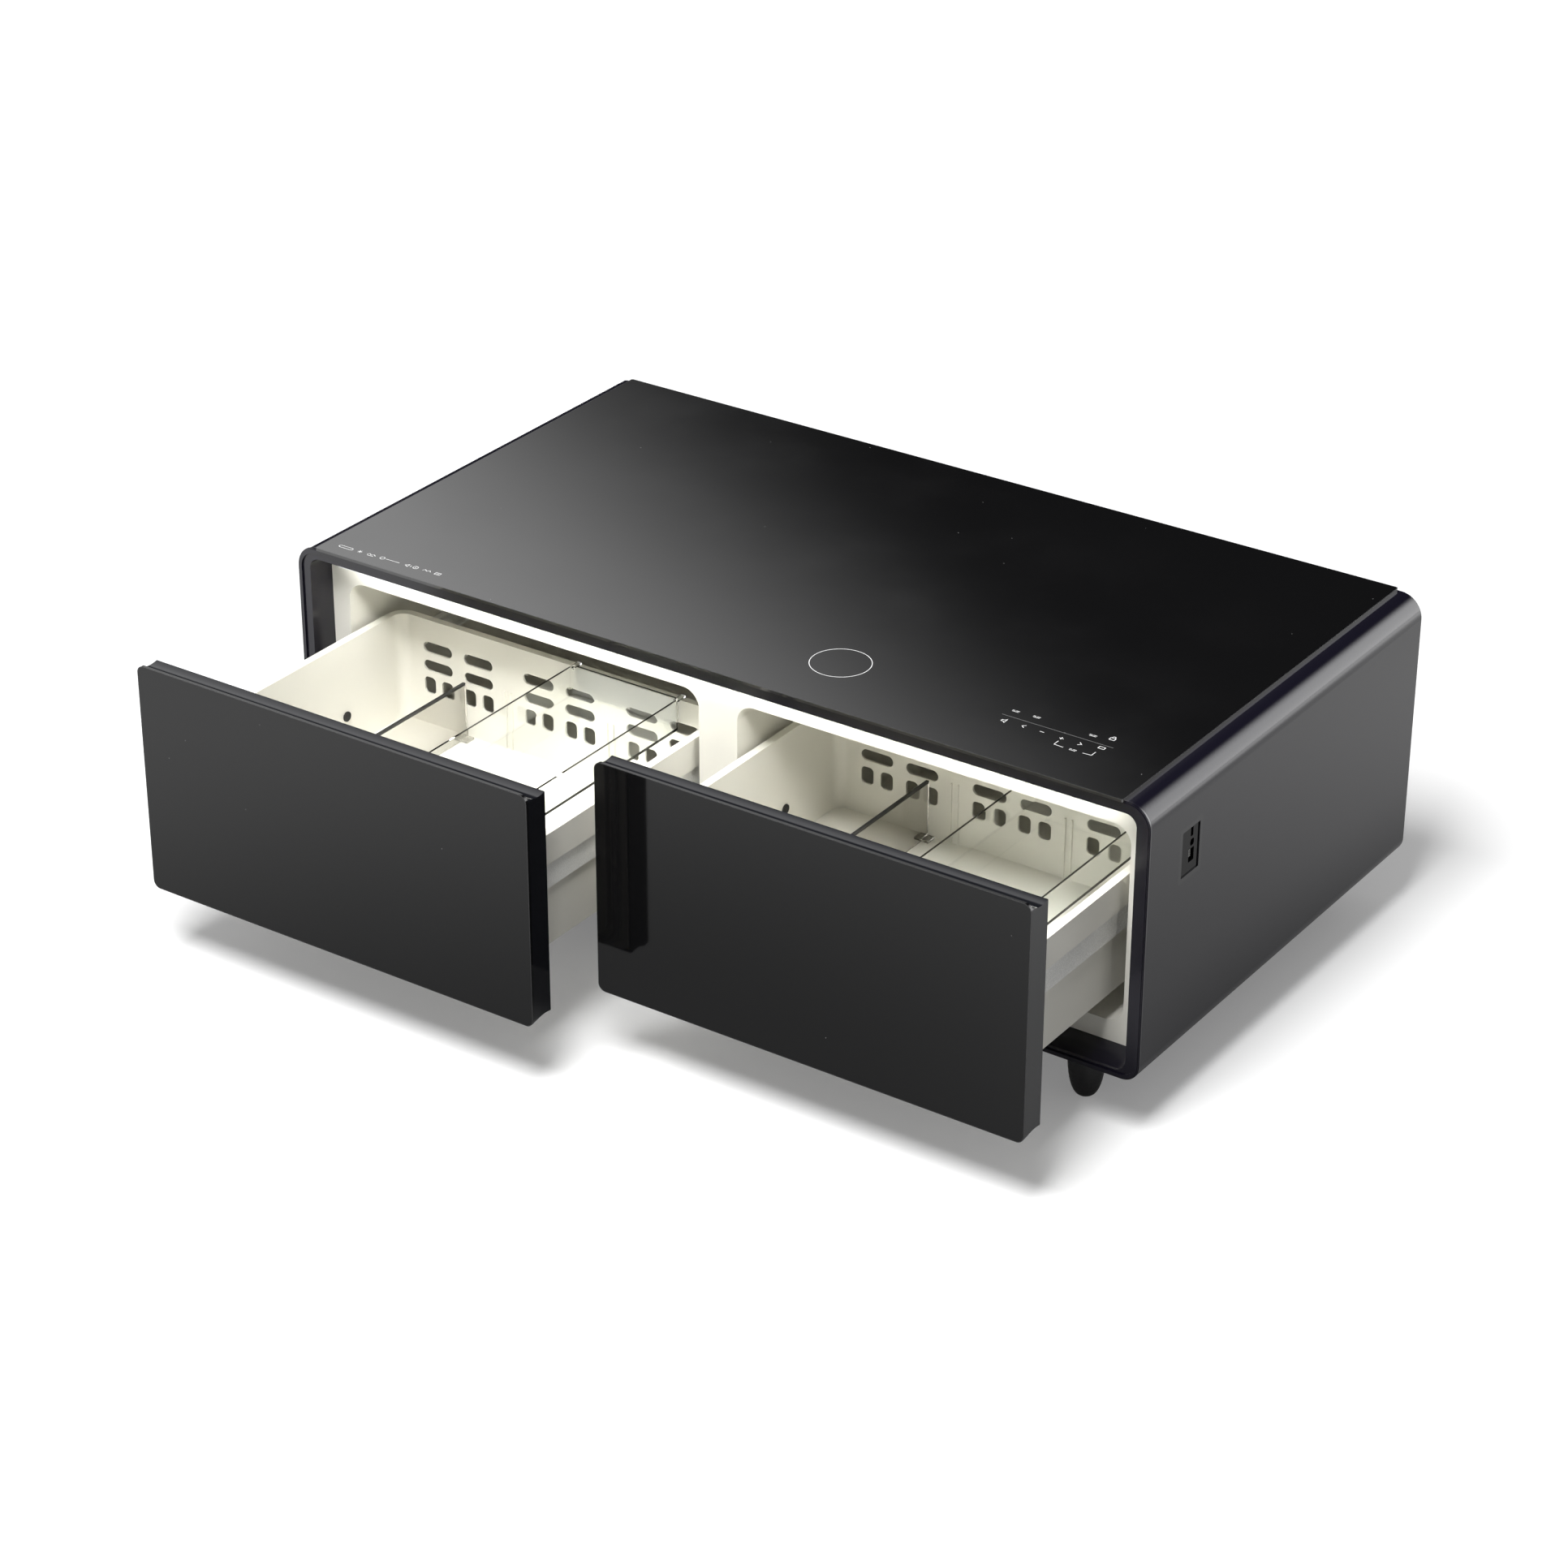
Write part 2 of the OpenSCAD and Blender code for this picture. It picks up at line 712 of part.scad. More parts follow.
module fin_coil(w, d, h, fins, rows) {
    xe = coil_end(w, h, rows);
    for (s = [-1, 1]) translate([s * (xe - 2 * end_plate) - end_plate / 2, 0, 0])
        cube([end_plate, d, h]);
    for (i = [1 : fins]) translate([-xe + 2 * end_plate + i * 2 * (xe - 2 * end_plate) / (fins + 1)
        - fin_t / 2, fin_in, fin_in]) cube([fin_t, d - 2 * fin_in, h - 2 * fin_in]);
    for (k = [0 : rows - 1]) translate([-xe, d / 2, (k + 0.5) * h / rows]) rod(tube_r, 2 * xe);
    for (k = [0 : rows - 2]) translate([(k % 2 == 0 ? 1 : -1) * xe, d / 2, (k + 1) * h / rows])
        rotate([90, 0, 0]) rotate([0, 0, k % 2 == 0 ? -90 : 90]) rotate_extrude(angle = 180)
            translate([h / rows / 2, 0]) circle(r = tube_r);
}

cond_y = bay_y1 - cond_d - 2 * seat;
cond_xe = coil_end(cond_w, cond_h, tube_rows);
fan_y = cond_y - fan_frame_t;
fan_z = cond_z + cond_h / 2;

module condenser() color("silver") place() {
    translate([0, cond_y, cond_z]) fin_coil(cond_w, cond_d, cond_h, fin_count, tube_rows);
    for (s = [-1, 1]) translate([s * (cond_xe - 2 * end_plate) - end_plate / 2, cond_y, inner_low])
        cube([end_plate, cond_d, cond_z - inner_low]);
}

module condenser_fan_frame() color("dimgray") place() translate([0, fan_y, 0]) {
    deep(0, fan_frame_t) {
        difference() {
            translate([0, fan_z]) square(2 * (fan_r + fan_rim), center = true);
            translate([0, fan_z]) circle(r = fan_r);
        }
        for (s = [-1, 1]) translate([s * (fan_r - fan_rim) - fan_rim, inner_low])
            square([2 * fan_rim, fan_z - fan_r - fan_rim - inner_low + cut]);
    }
    translate([0, 0, fan_z]) {
        deep(spider_in, fan_rim - spider_in) {
            circle(r = fan_hub_r);
            for (a = [45 : 90 : 315]) rotate(a) translate([0, -fan_rim / 2])
                square([fan_r + fan_tip, fan_rim]);
        }
        deep(fan_rim, fan_frame_t - 2.5 * fan_rim) circle(r = axle_r);
    }
}

// Fan wheel about a Y axis through the origin, from y = 0 towards the back
module fan_wheel(r, hub, t, n) {
    difference() {
        deep(0, t) circle(r = hub);
        deep(-cut, t - fan_rim / 2 + cut) circle(r = axle_r + run_fit);
    }
    for (i = [0 : n - 1]) rotate([0, i * 360 / n, 0]) intersection() {
        translate([hub - cut, t / 2, 0]) rotate([blade_pitch, 0, 0])
            cube([r, blade_t, 3 * hub], center = false);
        difference() {
            deep(0, t) circle(r = r);
            deep(-cut, t + 2 * cut) circle(r = hub - blade_t / 2);
        }
    }
}

module condenser_fan_rotor() color("gray") place()
    translate([0, fan_y + fan_rim + seat, fan_z])
        fan_wheel(fan_r - fan_tip, fan_hub_r, fan_frame_t - 2 * fan_rim, 5);

// Round pipe along a route of points, its runs along X, Y or Z and its corners bent
module pipe(route, r) {
    last = len(route) - 1;
    for (i = [0 : last - 1]) {
        way = route[i + 1] - route[i];
        d = way / norm(way);
        from = i == 0 ? 0 : pipe_bend;
        upto = i == last - 1 ? 0 : pipe_bend;
        translate(route[i] + from * d) rotate([0, acos(d[2]), atan2(d[1], d[0])])
            cylinder(r = r, h = norm(way) - from - upto);
    }
    for (i = [1 : 1 : last - 1]) {
        d = (route[i] - route[i - 1]) / norm(route[i] - route[i - 1]);
        e = (route[i + 1] - route[i]) / norm(route[i + 1] - route[i]);
        c = route[i] + pipe_bend * (e - d);
        n = cross(d, e);
        multmatrix([[-e[0], d[0], n[0], c[0]], [-e[1], d[1], n[1], c[1]],
            [-e[2], d[2], n[2], c[2]], [0, 0, 0, 1]])
            rotate_extrude(angle = 90) translate([pipe_bend, 0]) circle(r = r);
    }
}

airfan_x = niche_w / 2 - airfan_r - fan_rim;
coil_w = niche_w - 2 * airfan_r - 6 * fan_rim;

// Coolant lines: ends of the two coils, the compressor's stubs, valve block and accumulator
stub_l = 8;
line_in = 14;
line_out = 60;
line_y = bay_y0 + line_in;
line_x = cond_xe + line_out;
evap_h = niche_h - 2 * tube_r;
evap_z = comp_midz - niche_h / 2 + tube_r;
evap_y = comp_y1 + niche_d / 2 + cover_t;
evap_d = niche_d - 4 * tube_r + 2 * fin_in;
evap_rows = 4;
coil_x0 = comp_mid - niche_w / 2 + evap_h / evap_rows / 2 + tube_r + cut;
evap_mid = coil_x0 + coil_end(coil_w, evap_h, evap_rows);
evap_x = coil_x0 - pipe_bend - sheet;
liquid_z = evap_z + evap_h / evap_rows / 2;
gas_z = evap_z + evap_h - evap_h / evap_rows / 2;
cond_in_z = cond_z + cond_h - cond_h / tube_rows / 2;
cond_out_z = cond_z + cond_h / tube_rows / 2;
cond_tube_y = cond_y + cond_d / 2;
stub_hot_z = pot_z + pot_h * 0.62;
stub_cold_z = pot_z + pot_h * 0.3;
stub_x = pot_x + pot_r + stub_l;
tank_r = 13;
tank_h = 70;
tank_x = stub_x + 5 * tank_r;
tank_z = stub_cold_z + 3 * tank_r;
tank_in = 6;
gas_head = gas_z + 2 * pipe_bend;
block_w = 24;
block_d = 14;
drier_r = 8.5;
drier_l = 60;

function mirrored(s, route) = [for (p = route) [s * p[0], p[1], p[2]]];

liquid_route = [[coil_x0, evap_y, liquid_z], [evap_x, evap_y, liquid_z],
    [evap_x, line_y, liquid_z], [block_w / 2, line_y, liquid_z]];

function gas_route(s) = concat(mirrored(s, [[coil_x0, evap_y, gas_z], [evap_x, evap_y, gas_z],
    [evap_x, line_y, gas_z]]), [[s * evap_x, line_y, gas_head + (s + 1) * pipe_bend],
    [tank_x + s * tank_in, line_y, gas_head + (s + 1) * pipe_bend],
    [tank_x + s * tank_in, line_y, tank_z + tank_h]]);

// Ways for the lines through the liner and the foam
module pipe_ways() for (s = [-1, 1], z = [liquid_z, gas_z])
    translate([s * evap_x, evap_y + pipe_bend, z]) rotate([-90, 0, 0])
        cylinder(r = tube_r + run_fit, h = bay_y0 - evap_y);

module coolant_pipes() color("peru") place() {
    for (s = [-1, 1]) {
        pipe(mirrored(s, liquid_route), tube_r);
        pipe(gas_route(s), tube_r);
    }
    translate([-block_w / 2, line_y - block_d / 2, liquid_z - block_d / 2])
        cube([block_w, block_d, block_d]);
    translate([tank_x, line_y, tank_z]) cylinder(r = tank_r, h = tank_h);
    pipe([[tank_x, line_y, tank_z], [tank_x, line_y, stub_cold_z], [tank_x, bay_mid, stub_cold_z],
        [stub_x, bay_mid, stub_cold_z]], tube_r);
    pipe([[stub_x, bay_mid, stub_hot_z], [-line_x, bay_mid, stub_hot_z],
        [-line_x, cond_tube_y, stub_hot_z], [-line_x, cond_tube_y, cond_in_z],
        [-cond_xe, cond_tube_y, cond_in_z]], tube_r);
    pipe([[-cond_xe, cond_tube_y, cond_out_z], [-line_x, cond_tube_y, cond_out_z],
        [-line_x, line_y, cond_out_z], [0, line_y, cond_out_z],
        [0, line_y, liquid_z - block_d / 2]], tube_r);
    translate([-line_x / 2 - drier_l / 2, line_y, cond_out_z]) rod(drier_r, drier_l);
}

module control_box() color("lightgray") place() {
    difference() {
        translate([box_x - box_w / 2, bay_y0, z_top - box_h - 2 * case_r_top])
            cube([box_w, box_d, box_h]);
        translate([box_x - box_w / 2 + base_t, bay_y0 + base_t, z_top - box_h - 2 * case_r_top + base_t])
            cube([box_w - 2 * base_t, box_d - 2 * base_t, box_h - 2 * base_t]);
    }
}

// Air cover, coil and fan at the back of each compartment

module air_cover(side) color("white") place() on_side(side) {
    cover_plate();
    translate([comp_mid + airfan_x, 0, comp_midz]) {
        deep(comp_y1, fan_rim - seat) circle(r = airfan_r / 3);
        deep(comp_y1 + fan_rim - seat, niche_d / 2 - fan_rim / 2) circle(r = axle_r);
    }
}

module cover_plate() difference() {
    deep(comp_y1 - cover_t, cover_t) translate([comp_mid, comp_midz])
        square([niche_w + 2 * cover_lap, niche_h + 2 * cover_lap], center = true);
    translate([comp_mid + airfan_x, 0, comp_midz]) for (k = [2 : 3])
        deep(comp_y1 - cover_t - cut, cover_t + 2 * cut) difference() {
            circle(r = k * airfan_r / 3 - sheet);
            circle(r = (k - 1) * airfan_r / 3 + sheet);
            square([2 * airfan_r, 2 * sheet], center = true);
            square([2 * sheet, 2 * airfan_r], center = true);
        }
    for (k = [-3 : 3]) deep(comp_y1 - cover_t - cut, cover_t + 2 * cut)
        translate([evap_mid, comp_midz + k * (louvre_h + louvre_gap)])
            square([coil_w - 2 * cover_lap, louvre_h], center = true);
}

module left_air_cover() air_cover(-1);
module right_air_cover() air_cover(1);

module evaporator(side) color("silver") place() on_side(side) {
    translate([evap_mid, evap_y - evap_d / 2, evap_z])
        fin_coil(coil_w, evap_d, evap_h, fin_count, evap_rows);
    for (x = [-1, 1]) translate([evap_mid + x * (coil_end(coil_w, evap_h, evap_rows) - 2 * end_plate)
        - end_plate / 2, evap_y - evap_d / 2, comp_midz - niche_h / 2])
        cube([end_plate, evap_d, tube_r]);
}

module left_evaporator() evaporator(-1);
module right_evaporator() evaporator(1);

module air_fan(side) color("gray") place() on_side(side)
    translate([comp_mid + airfan_x, comp_y1 + fan_rim, comp_midz])
        fan_wheel(airfan_r, fan_hub_r - fan_rim, niche_d / 2, 5);

module left_air_fan() air_fan(-1);
module right_air_fan() air_fan(1);

// Roller runners: channel on the compartment wall, rail on the bin
chan_z1 = rim_z - chan_drop;
chan_y1 = comp_y1 - chan_end;
front_roller_z = rim_z - rail_drop - rail_h - seat - roller_r;

// Children drawn against the right wall of the right compartment and its mirror image
module both_walls() {
    children();
    translate([2 * comp_mid, 0, 0]) mirror([1, 0, 0]) children();
}

module channels(side) color("whitesmoke") place() on_side(side) both_walls() {
    difference() {
        translate([bin_x1 - rail_face + chan_gap, chan_y0, chan_z1 - chan_h])
            cube([comp_x1 - bin_x1 + rail_face - chan_gap, chan_y1 - chan_y0, chan_h]);
        translate([bin_x1 - rail_face + chan_gap - cut, chan_y0 - cut, chan_z1 - chan_h + rail_t])
            cube([comp_x1 - bin_x1 + rail_face - chan_gap - rail_t + cut, chan_y1 - chan_y0 + 2 * cut,
                chan_h - 2 * rail_t]);
    }
    translate([comp_x1 - rail_t, front_roller_y - tab_l / 2, front_roller_z - tab_over])
        cube([rail_t, tab_l, chan_z1 - chan_h - front_roller_z + tab_over]);
    translate([bin_x1 - tub + seat, front_roller_y, front_roller_z])
        rod(axle_r, comp_x1 - bin_x1 + tub - seat);
}

module left_channels() channels(-1);
module right_channels() channels(1);

module roller(r, w) difference() {
    rod(r, w);
    translate([-cut, 0, 0]) rod(axle_r + run_fit, w + 2 * cut);
}

module front_rollers(side) color("white") place() on_side(side) both_walls()
    translate([bin_x1 - tub + 2 * seat, front_roller_y, front_roller_z])
        roller(roller_r, front_roller_w);

module left_front_rollers() front_rollers(-1);
module right_front_rollers() front_rollers(1);

rail_z1 = rim_z - rail_drop;

module rails(side) color("whitesmoke") place() drawer(side) both_walls() {
    difference() {
        translate([bin_x1 - tub, bin_y0, rail_z1 - rail_h])
            cube([rail_out, bin_y1 - rail_back - bin_y0, rail_h]);
        translate([bin_x1 - tub - cut, bin_y0 - cut, rail_z1 - rail_h + rail_t])
            cube([rail_out - rail_t + cut, bin_y1 - rail_back - bin_y0 + 2 * cut, rail_h - 2 * rail_t]);
    }
    translate([bin_x1 - rail_face - rail_t, bin_y1 - rear_roller_in, chan_z1 - chan_h / 2])
        rod(axle_r, rail_t + chan_gap + rear_roller_w + seat);
}

module left_rails() rails(-1);
module right_rails() rails(1);

module rear_rollers(side) color("white") place() drawer(side) both_walls()
    translate([bin_x1 - rail_face + chan_gap, bin_y1 - rear_roller_in, chan_z1 - chan_h / 2])
        roller(rear_roller_r, rear_roller_w);

module left_rear_rollers() rear_rollers(-1);
module right_rear_rollers() rear_rollers(1);

// Drawer fronts
module door_glass(side) color("black") place() drawer(side)
    deep(0, door_glass_t) door_outline(0);

module left_door_glass() door_glass(-1);
module right_door_glass() door_glass(1);

// Cove cutters along the top and bottom edges
module coves() {
    translate([door_x0 - cut, cove_y, door_z1 - cove_in + cove_r]) rod(cove_r, door_x1 - door_x0 + 2 * cut);
    translate([door_x0 - cut, cove_y, door_z0 + cove_in - cove_r]) rod(cove_r, door_x1 - door_x0 + 2 * cut);
}

module door_cavity() translate([door_x0 + frame_wall, door_glass_t + frame_wall,
    door_z0 + cove_in + frame_wall])
    cube([door_x1 - door_x0 - 2 * frame_wall, door_t - door_glass_t,
        door_z1 - door_z0 - 2 * cove_in - 2 * frame_wall]);

module door_frame(side) color("darkslategray") place() drawer(side) difference() {
    deep(door_glass_t, door_t - door_glass_t) door_outline(0);
    coves();
    door_cavity();
}

module left_door_frame() door_frame(-1);
module right_door_frame() door_frame(1);

module door_core(side) color("khaki") place() drawer(side) {
    intersection() {
        door_cavity();
        deep(door_glass_t + frame_wall, door_t - door_glass_t - frame_wall) door_outline(0);
    }
    deep(door_t, pan_y1 - door_t - pan_t) pan_outline(pan_t);
}

module left_door_core() door_core(-1);
module right_door_core() door_core(1);

module door_panel(side) color("ivory") place() drawer(side) difference() {
    union() {
        deep(door_t, pan_t) rr(door_x0 + frame_wall, door_x1 - frame_wall,
            door_z0 + cove_in + sheet, door_z1 - cove_in - sheet, door_r);
        deep(door_t, pan_y1 - door_t) pan_outline(0);
    }
    deep(door_t - cut, pan_y1 - door_t - pan_t + cut) pan_outline(pan_t);
}

module left_door_panel() door_panel(-1);
module right_door_panel() door_panel(1);

module seal(side) color("silver") place() drawer(side) deep(door_t + pan_t, seal_y1 - door_t - pan_t)
    difference() {
        rr(comp_x0 - seal_w, comp_x1 + seal_w, comp_z0 - seal_w, comp_z1 + seal_w, comp_r);
        comp_outline(-seal_in);
    }

module left_seal() seal(-1);
module right_seal() seal(1);

// Bins
// A bin is alike at both ends, so the right one is the left one moved across
module same_hand(side) translate([side < 0 ? 0 : bin_x0 + bin_x1, 0, 0])
    mirror([side < 0 ? 0 : 1, 0, 0]) children();

module bin_plan(inset) rr(bin_x0 + inset, bin_x1 - inset, bin_y0 + inset, bin_y1 - inset,
    bin_r - inset);

module rear_cut() deep(bin_y1 - rim_w - cut, rim_w + 2 * cut) children();

module vents() {
    for (p = [-1 : 1], s = [-1, 1]) {
        for (row = [row_a, row_b]) rear_cut()
            translate([bin_mid + p * pair_pitch + s * slot_off, rim_z - row])
                rr(-slot_l / 2, slot_l / 2, -slot_h / 2, slot_h / 2, slot_h / 2);
        for (w = [-1, 1]) rear_cut()
            translate([bin_mid + p * pair_pitch + s * slot_off + w * win_off, rim_z - row_c])
                rr(-win / 2, win / 2, -win_h / 2, win_h / 2, win_r);
    }
}

// Paired guide ribs on the front and rear walls
module ribs() for (s = [-1, 1], g = [-1, 1], y = [in_y0, in_y1 - rib_d])
    translate([bin_mid + s * rib_off + g * rib_gap / 2 - rib_w / 2, y, bin_z0 + bin_wall])
        cube([rib_w, rib_d, rim_z - rib_drop - bin_z0 - bin_wall]);

module plug_axis() both_walls() translate([bin_x1 - tub, plug_y, bin_z0 + plug_z]) children();

module bin(side) color("white") place() drawer(side) same_hand(side) {
    difference() {
        union() {
            tall(bin_z0, rim_z - bin_z0) bin_plan(tub);
            tall(rim_z - bin_wall, bin_wall) bin_plan(0);
            tall(rim_z - rim_h, rim_h) difference() {
                bin_plan(0);
                bin_plan(skirt_t);
            }
        }
        tall(bin_z0 + bin_wall, rim_z - bin_z0) bin_plan(rim_w);
        vents();
        plug_axis() translate([-bin_wall - cut, 0, 0]) rod(plug_r, bin_wall + 2 * cut);
    }
    ribs();
}

module left_bin() bin(-1);
module right_bin() bin(1);

module bin_plugs(side) color("black") place() drawer(side) plug_axis() {
    translate([-bin_wall, 0, 0]) rod(plug_r - run_fit, bin_wall);
    translate([-bin_wall - plug_lip, 0, 0]) rod(plug_r + plug_lip, plug_lip);
}

module left_bin_plugs() bin_plugs(-1);
module right_bin_plugs() bin_plugs(1);

// Clear trays that hang on the rims
tray_y0 = in_y0 + rib_d / 2;
tray_y1 = in_y1 - rib_d / 2;
tray_z0 = rim_z - tray_h;
tray_z1 = rim_z + seat + tray_wall;

module tray(side, at) color("lightblue") place() drawer(side) translate([in_x0 + at, 0, 0]) {
    difference() {
        tall(tray_z0, tray_z1 - tray_z0) rr(0, tray_w, tray_y0, tray_y1, tray_r);
        tall(tray_z0 + tray_wall, tray_z1) rr(tray_wall, tray_w - tray_wall,
            tray_y0 + tray_wall, tray_y1 - tray_wall, tray_r - tray_wall);
    }
    for (x = [0, tray_w - 2 * tray_wall]) {
        translate([x, in_y0 - hook_l, rim_z + seat]) cube([2 * tray_wall, hook_l + tray_r, tray_wall]);
        translate([x, in_y1 - tray_r, rim_z + seat]) cube([2 * tray_wall, hook_l + tray_r, tray_wall]);
    }
}

module left_tray() tray(-1, left_tray_at);
module right_tray() tray(1, in_x1 - in_x0 - tray_w - right_tray_at);

// Upright smoked dividers that slide on the bin floor
div_z0 = bin_z0 + bin_wall + seat;

module divider(side, at) color("gray") place() drawer(side) translate([bin_mid + at, 0, 0]) {
    translate([-divider_t / 2, in_y0 + div_clear, div_z0])
        cube([divider_t, in_y1 - in_y0 - 2 * div_clear, divider_h]);
    for (y = [in_y0 + div_clear, in_y1 - div_clear - div_foot_l])
        translate([-div_foot_w / 2, y, div_z0]) cube([div_foot_w, div_foot_l, div_foot_t]);
}

module left_divider() divider(-1, left_divider_at);
module right_divider() divider(1, -right_divider_at);

shell();
glass_top();
front_bezel();
cabinet_liner();
insulation();
feet();
foot_pads();
foot_plates();
led_channel();
led_diffuser();
touch_tray();
touch_board();
charge_coil();
port_frame();
port_plate();
port_sockets();
back_panel();
back_screws();
power_inlet();
speakers();
compressor();
compressor_mounts();
condenser();
condenser_fan_frame();
condenser_fan_rotor();
coolant_pipes();
control_box();
left_air_cover();
right_air_cover();
left_evaporator();
right_evaporator();
left_air_fan();
right_air_fan();
left_channels();
right_channels();
left_front_rollers();
right_front_rollers();
left_door_glass();
left_door_frame();
left_door_core();
left_door_panel();
left_seal();
left_bin();
left_bin_plugs();
left_rails();
left_rear_rollers();
left_tray();
left_divider();
right_door_glass();
right_door_frame();
right_door_core();
right_door_panel();
right_seal();
right_bin();
right_bin_plugs();
right_rails();
right_rear_rollers();
right_tray();
right_divider();
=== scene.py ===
# %% [markdown]
# # A refrigerator coffee table
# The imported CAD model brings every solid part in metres, already in place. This
# lesson dresses it: camera, studio, finishes, and the fine pieces that a CAD
# model leaves out, such as printed marks, ground glass edges and door seals.

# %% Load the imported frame
import json
import math

import bmesh
import bpy
from mathutils import Matrix, Vector

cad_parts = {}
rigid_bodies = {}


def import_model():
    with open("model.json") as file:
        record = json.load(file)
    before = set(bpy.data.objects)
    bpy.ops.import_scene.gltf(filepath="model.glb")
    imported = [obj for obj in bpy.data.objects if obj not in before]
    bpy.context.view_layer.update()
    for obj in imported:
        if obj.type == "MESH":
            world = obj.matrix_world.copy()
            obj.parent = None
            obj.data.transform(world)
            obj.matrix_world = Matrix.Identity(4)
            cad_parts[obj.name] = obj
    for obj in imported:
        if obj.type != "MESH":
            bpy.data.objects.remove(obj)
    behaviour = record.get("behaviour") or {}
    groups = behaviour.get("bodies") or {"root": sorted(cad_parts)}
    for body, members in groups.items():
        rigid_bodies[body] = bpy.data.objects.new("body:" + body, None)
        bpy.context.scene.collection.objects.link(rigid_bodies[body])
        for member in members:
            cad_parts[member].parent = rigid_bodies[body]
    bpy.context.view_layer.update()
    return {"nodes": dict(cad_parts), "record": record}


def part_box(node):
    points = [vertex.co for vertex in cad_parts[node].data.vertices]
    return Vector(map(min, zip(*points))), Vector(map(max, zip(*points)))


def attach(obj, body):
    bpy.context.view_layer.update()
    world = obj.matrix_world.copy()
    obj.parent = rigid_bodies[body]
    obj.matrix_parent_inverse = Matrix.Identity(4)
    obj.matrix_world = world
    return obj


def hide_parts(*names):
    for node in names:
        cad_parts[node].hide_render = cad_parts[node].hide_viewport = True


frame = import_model()
nodes = frame["nodes"]

# %% [markdown]
# ## The camera
# A product photograph is taken with a long lens from above, so that parallel
# edges stay nearly parallel. The lens and the three angles below were solved
# from the straight edges of the case. The view direction is worked out from the
# angles, and a small roll turns the picture round it.

# %% Camera
SENSOR = 36.0
LENS = 94.384
CAMERA_AT = Vector((2.67234, -3.89314, 2.73625))
YAW, PITCH, ROLL = 0.5999, 0.4906, 0.0030

forward = Vector((-math.sin(YAW) * math.cos(PITCH), math.cos(YAW) * math.cos(PITCH),
                  -math.sin(PITCH)))
level = forward.cross(Vector((0, 0, 1))).normalized()
upright = level.cross(forward)
across = math.cos(ROLL) * level + math.sin(ROLL) * upright
up = math.cos(ROLL) * upright - math.sin(ROLL) * level
camera_data = bpy.data.cameras.new("camera")
camera_data.lens = LENS
camera_data.sensor_width = SENSOR
camera = bpy.data.objects.new("camera", camera_data)
bpy.context.scene.collection.objects.link(camera)
turn = Matrix((across, up, -forward)).transposed().to_4x4()
camera.matrix_world = Matrix.Translation(CAMERA_AT) @ turn
bpy.context.scene.camera = camera
print("camera looks along", [round(value, 3) for value in forward])

# %% [markdown]
# ## Wiring shaders with Python
# A material is a graph of nodes. Writing the sums as Python expressions keeps
# them readable, so a small class wraps one output socket and turns +, -, * and /
# into Math nodes. A second class holds the graph and has one method for every
# other kind of node: its type, its settings, then the values of its sockets.

# %% Socket and graph helpers
class Wire:
    """One output socket that can be used in a sum."""

    def __init__(self, graph, socket):
        self.graph = graph
        self.socket = socket

    def sum(self, operation, first, second=0.0):
        return self.graph.node("ShaderNodeMath", {"operation": operation},
                               {0: first, 1: second})

    def __add__(self, other):
        return self.sum("ADD", self, other)

    def __sub__(self, other):
        return self.sum("SUBTRACT", self, other)

    def __rsub__(self, other):
        return self.sum("SUBTRACT", other, self)

    def __mul__(self, other):
        return self.sum("MULTIPLY", self, other)

    def __truediv__(self, other):
        return self.sum("DIVIDE", self, other)

    __radd__ = __add__
    __rmul__ = __mul__


class Graph:
    """A node tree of a material, a world or a geometry recipe."""

    def __init__(self, tree):
        self.tree = tree

    def node(self, kind, settings=None, sockets=None, out=0):
        made = self.tree.nodes.new(kind)
        for name, value in (settings or {}).items():
            setattr(made, name, value)
        for name, value in (sockets or {}).items():
            self.feed(made.inputs[name], value)
        return Wire(self, made.outputs[out]) if len(made.outputs) else None

    def feed(self, socket, value):
        if isinstance(value, Wire):
            self.tree.links.new(value.socket, socket)
        else:
            socket.default_value = value

    def blend(self, share, first, second):
        """A colour between two colours."""
        return self.node("ShaderNodeMix", {"data_type": "RGBA"},
                         {0: share, 6: first, 7: second}, out=2)

    def between(self, value, low, high, to_low=0.0, to_high=1.0):
        """A value brought smoothly from one range to another."""
        return self.node("ShaderNodeMapRange", {"interpolation_type": "SMOOTHSTEP"},
                         {0: value, 1: low, 2: high, 3: to_low, 4: to_high})

    def place(self, stretch=(1, 1, 1)):
        """Object coordinates in metres, stretched along an axis if asked."""
        point = self.node("ShaderNodeTexCoord", out="Object")
        if stretch == (1, 1, 1):
            return point
        return self.node("ShaderNodeMapping", {}, {"Vector": point, "Scale": stretch})

    def noise(self, scale, detail=2.0, stretch=(1, 1, 1)):
        return self.node("ShaderNodeTexNoise", {}, {
            "Vector": self.place(stretch), "Scale": scale, "Detail": detail})


print("helpers ready")

# %% [markdown]
# ## The studio
# The photograph stands on pure white with a soft shadow, and the black top
# mirrors a light panel on the left that fades out to the right. The floor is a
# plain pale sheet. For the camera, and for mirrors and clear plastic, part of
# its brightness is its own, more so farther off, so the floor stays white but
# keeps the shadow. Light that bounces off it sees a darker sheet, so that the
# undersides stay dark. Mirrors alone see painted reflections in it: painted
# dark near the table, standing for the shade there, and painted brighter far
# off, which gives the doors their tones.

# %% Floor
FLOOR_SIZE = 60.0
FLOOR_OWN = 0.19
NEAR, FAR = 1.5, 3.2
# Painted reflections: how brightly mirrors see the floor glow far off, and how dark they see it
# near the table.
PAINTED_REFLECTION_GLOW, PAINTED_GLOW_NEAR, PAINTED_GLOW_FAR = 3.0, 1.6, 5.0
PAINTED_REFLECTION_SHADE, PAINTED_REFLECTION_SHADE_NEAR, PAINTED_REFLECTION_SHADE_FAR = 0.68, 0.55, 1.6
BOUNCE = 0.22


def link(obj):
    bpy.context.scene.collection.objects.link(obj)
    return obj


